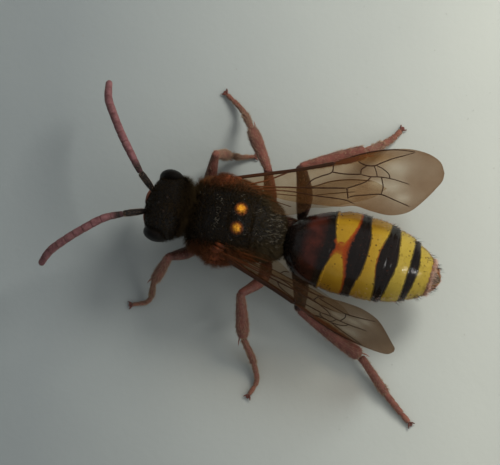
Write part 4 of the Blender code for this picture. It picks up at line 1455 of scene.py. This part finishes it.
def add_abdomen_hair(skins, hair):
    """Fine short hair that lies flat, a few dark bristles, and a rosy fringe round the tip."""
    flat = Form("yellow", "red", "brown", "lemon", "clay", "tip")
    bristles, fringe = Form("tip"), Form("tip")
    for number, (skin, along, side, shown) in enumerate(skins):
        tile = (0.0, number / 6, 1.0, (number + 0.98) / 6)
        density = shown * (0.4 + 0.8 * ease(side, 0.5, 1.0))
        weights = band_weights(along, side)
        add_coat(flat, skin, LAYERS["abdomen_flat"], density, 0.085, tile, **weights)
        if number == 0:
            layer = LAYERS["abdomen_front"]
            add_coat(bristles, skin, layer, ease(-along, 1.15, 1.85), 0.15, tile)
        rim = hill(along - SEGMENT_EDGES[number + 1] + 0.28, 0.13)
        density = rim * shown * (0.35 + ease(side, 0.3, 0.9))
        layer = (16 + 8 * number + 6 * max(number - 2, 0), 0.015, 34 + 4 * number, 0.4)
        add_coat(bristles, skin, layer, density, 0.15 + 0.025 * number, tile)
        if number >= 2:
            density = shown * ease(side, 0.5, 0.9)
            add_coat(fringe, skin, LAYERS["abdomen_rear"], density, 0.13, tile)
        if number in TIP_FRINGES:
            place, width, count, length = TIP_FRINGES[number]
            density = hill(along - place, width) * shown * (1.7 - side).clip(0.1, 1)
            add_coat(fringe, skin, (count, 0.011, 30, 0.5), density, length, tile)
    flat.piece("hair_abdomen_flat", hair["banded"], "banded_cuticle")
    bristles.piece("hair_abdomen_bristles", hair["black"], "banded_cuticle")
    fringe.piece("hair_abdomen_fringe", hair["rosy"], "banded_cuticle")


def add_leg_hair(skins, material):
    """Golden down and short spines, densest on shins and feet."""
    for side in SIDES:
        form = Form("tip")
        legs = [leg for leg in LEGS if leg.endswith(side)]
        for number, leg in enumerate(legs):
            spines = LAYERS["hind_spines" if leg.startswith("hind") else "spines"]
            for part, (skin, (count, length)) in enumerate(zip(skins[leg], LEG_DOWN)):
                low = (number + part / len(LEG_DOWN)) / len(legs)
                tile = (0.0, low, 1.0, low + 0.95 / len(LEG_DOWN) / len(legs))
                add_coat(form, skin, (count, 0.010, 26 if part else 48, 0.25), None, length, tile)
                if part in SPINY:
                    density = 0.2 + ease(np.linspace(0, 1, len(skin)), 0.2, 1.0)[:, None]
                    add_coat(form, skin, spines, density, 0.14, tile)
        form.piece(f"hair_legs_{side}", material, "leg_cuticle")


def add_feeler_hair(skins, material):
    form = Form("tip")
    for number, (scape, flagellum) in enumerate(skins):
        low = number / 2
        tile = (0.0, low, 1.0, low + 0.24)
        add_coat(form, scape, LAYERS["scape"], None, 0.07, tile)
        tile = (0.0, low + 0.25, 1.0, low + 0.25 + 0.24)
        add_coat(form, flagellum, LAYERS["flagellum"], None, 0.028, tile)
    form.piece("hair_feelers", material, "red_cuticle")


# ---------------------------------------------------------------- floor, light and camera

AIM = (0.47, 0.55, 3.9)  # the place in the middle of the picture
CAMERA_TILT = 6.0
CAMERA_DISTANCE = 300.0
VIEW_WIDTH = 18.87
IMAGE_RIGHT = (-0.191, 0.982, 0.0)
IMAGE_DOWN = (0.982, 0.191, 0.0)
SENSOR = 36.0
CLIP = (0.001, 2.0)  # metres
FLOOR_HALF = 0.45  # metres
PAINTED_LIGHT_WAY = (-0.10, 0.99, 0.0)  # where the floor is painted paler: a painted fall-off of the light, lit towards the tail and shaded towards the head
LIGHTS_AIM = (0.4, 0.6, 1.5)
# Lights as (name, place, width, power, colour, whether it shows in glints rather than as light)
LIGHTS = (
    ("key", (-40, 23, 37), 22, 0.027, (1.0, 0.97, 0.91), False),
    ("side", (-8, 50, 36), 56, 0.012, (1.0, 0.97, 0.92), False),
    ("fill", (26, 50, 26), 50, 0.006, (1.0, 0.98, 0.94), False),
    ("window", (4, 46, 41), 1.8, 0.0045, (1.0, 0.98, 0.95), True),
)
SKY_COLOUR = (0.94, 0.97, 1.0, 1.0)
SKY_STRENGTH = 0.31


def world_point(*place):
    return Vector(ORIGIN + MM * np.array(place, float))


def add_object(name, data):
    ob = bpy.data.objects.new(name, data)
    bpy.context.scene.collection.objects.link(ob)
    return ob


def add_camera():
    data = bpy.data.cameras.new("camera")
    data.sensor_width = SENSOR
    data.lens = SENSOR * CAMERA_DISTANCE / VIEW_WIDTH
    data.clip_start, data.clip_end = CLIP
    camera = add_object("camera", data)
    tilt = radians(CAMERA_TILT)
    back = sin(tilt) * Vector(IMAGE_DOWN).normalized() + cos(tilt) * Vector((0, 0, 1))
    right = Vector(IMAGE_RIGHT).normalized()
    turn = Matrix((right, back.cross(right), back)).transposed()
    place = Vector(AIM) + CAMERA_DISTANCE * back
    camera.matrix_world = Matrix.Translation(world_point(*place)) @ turn.to_4x4()
    bpy.context.scene.camera = camera


def add_light(name, place, width, power, colour, glints):
    data = bpy.data.lights.new(name, "AREA")
    data.shape = "DISK"
    data.size = width * MM
    data.energy = power
    data.color = colour
    lamp = add_object(name, data)
    lamp.visible_glossy = glints
    lamp.visible_diffuse = not glints
    lamp.location = world_point(*place)
    way = world_point(*LIGHTS_AIM) - lamp.location
    lamp.rotation_euler = way.to_track_quat("-Z", "Y").to_euler()


def add_floor():
    mesh = bpy.data.meshes.new("floor")
    corners = [(FLOOR_HALF * x, FLOOR_HALF * y, 0) for x, y in ((-1, -1), (1, -1), (1, 1), (-1, 1))]
    mesh.from_pydata(corners, [], [(0, 1, 2, 3)])
    paint = Paint("floor_painted_light", Specular_IOR_Level=0.3, Roughness=0.55)
    cloud = paint.noise(0.25)
    pale = paint.mix(cloud, (180, 184, 177), (187, 191, 183))
    grey = paint.mix(cloud, (137, 144, 145), (144, 151, 151))
    # Painted light: the floor's colour runs from a painted shade, grey, to a painted lit tone, pale,
    # across the floor, in place of the light's fall-off
    plain = paint.mix(paint.ramp(paint.across(PAINTED_LIGHT_WAY), -7.6, 9.2), grey, pale)
    specks = paint.ramp(paint.noise(6.0, 5.0), 0.70, 0.8)
    paint.set("Base Color", paint.mix(specks, plain, (140, 140, 132)))
    paint.bump(paint.noise(3.0), 0.02, 0.4)
    mesh.materials.append(paint.material)
    add_object("floor", mesh)


def add_stage():
    scene = bpy.context.scene
    scene.view_settings.view_transform = "Standard"
    scene.world = bpy.data.worlds.new("studio")
    scene.world.use_nodes = True
    sky = scene.world.node_tree.nodes["Background"].inputs
    sky["Color"].default_value = SKY_COLOUR
    sky["Strength"].default_value = SKY_STRENGTH
    add_floor()
    for light in LIGHTS:
        add_light(*light)
    add_camera()


# Hair as its root's colour and its tip's
HAIR_COLOURS = {
    "dark": ((18, 14, 8), (64, 50, 29)),
    "pale": ((22, 18, 11), (74, 63, 43)),
    # Pale hairs of the thorax, partly real and partly painted glints
    "pale_glint": ((84, 78, 64), (176, 168, 150)),
    "brown": ((54, 28, 14), (116, 68, 38)),
    "black": ((22, 16, 14), (48, 36, 30)),
    "down": ((92, 56, 38), (202, 172, 142)),
    "rosy": ((170, 104, 74), (232, 198, 178)),
}


def build():
    cuticle = {
        "black": black_cuticle(),
        "eye": eye_cuticle(),
        "ocellus": ocellus_glass(),
        "jaw": jaw_cuticle(),
        "shell": shell_cuticle(),
        "banded": banded_cuticle(),
        "film": wing_film(),
        "vein": vein_cuticle(),
    }
    hair = {name: hair_matter(f"hair_{name}", *pair) for name, pair in HAIR_COLOURS.items()}
    hair["banded"] = banded_cuticle("hair_banded")
    head, neck = add_head(cuticle)
    feelers = add_feelers(feeler_cuticle())
    thorax, shells = add_thorax(cuticle)
    abdomen = add_abdomen(cuticle)
    add_wings(cuticle)
    legs = add_legs(leg_cuticle())
    add_head_hair(head, hair["dark"])
    add_layer("hair_neck", hair["dark"], neck, LAYERS["neck"], None, 0.42)
    add_thorax_hair(thorax, hair)
    add_tegula_hair(shells, hair["brown"])
    add_abdomen_hair(abdomen, hair)
    add_leg_hair(legs, hair["down"])
    add_feeler_hair(feelers, hair["down"])


build()
add_stage()
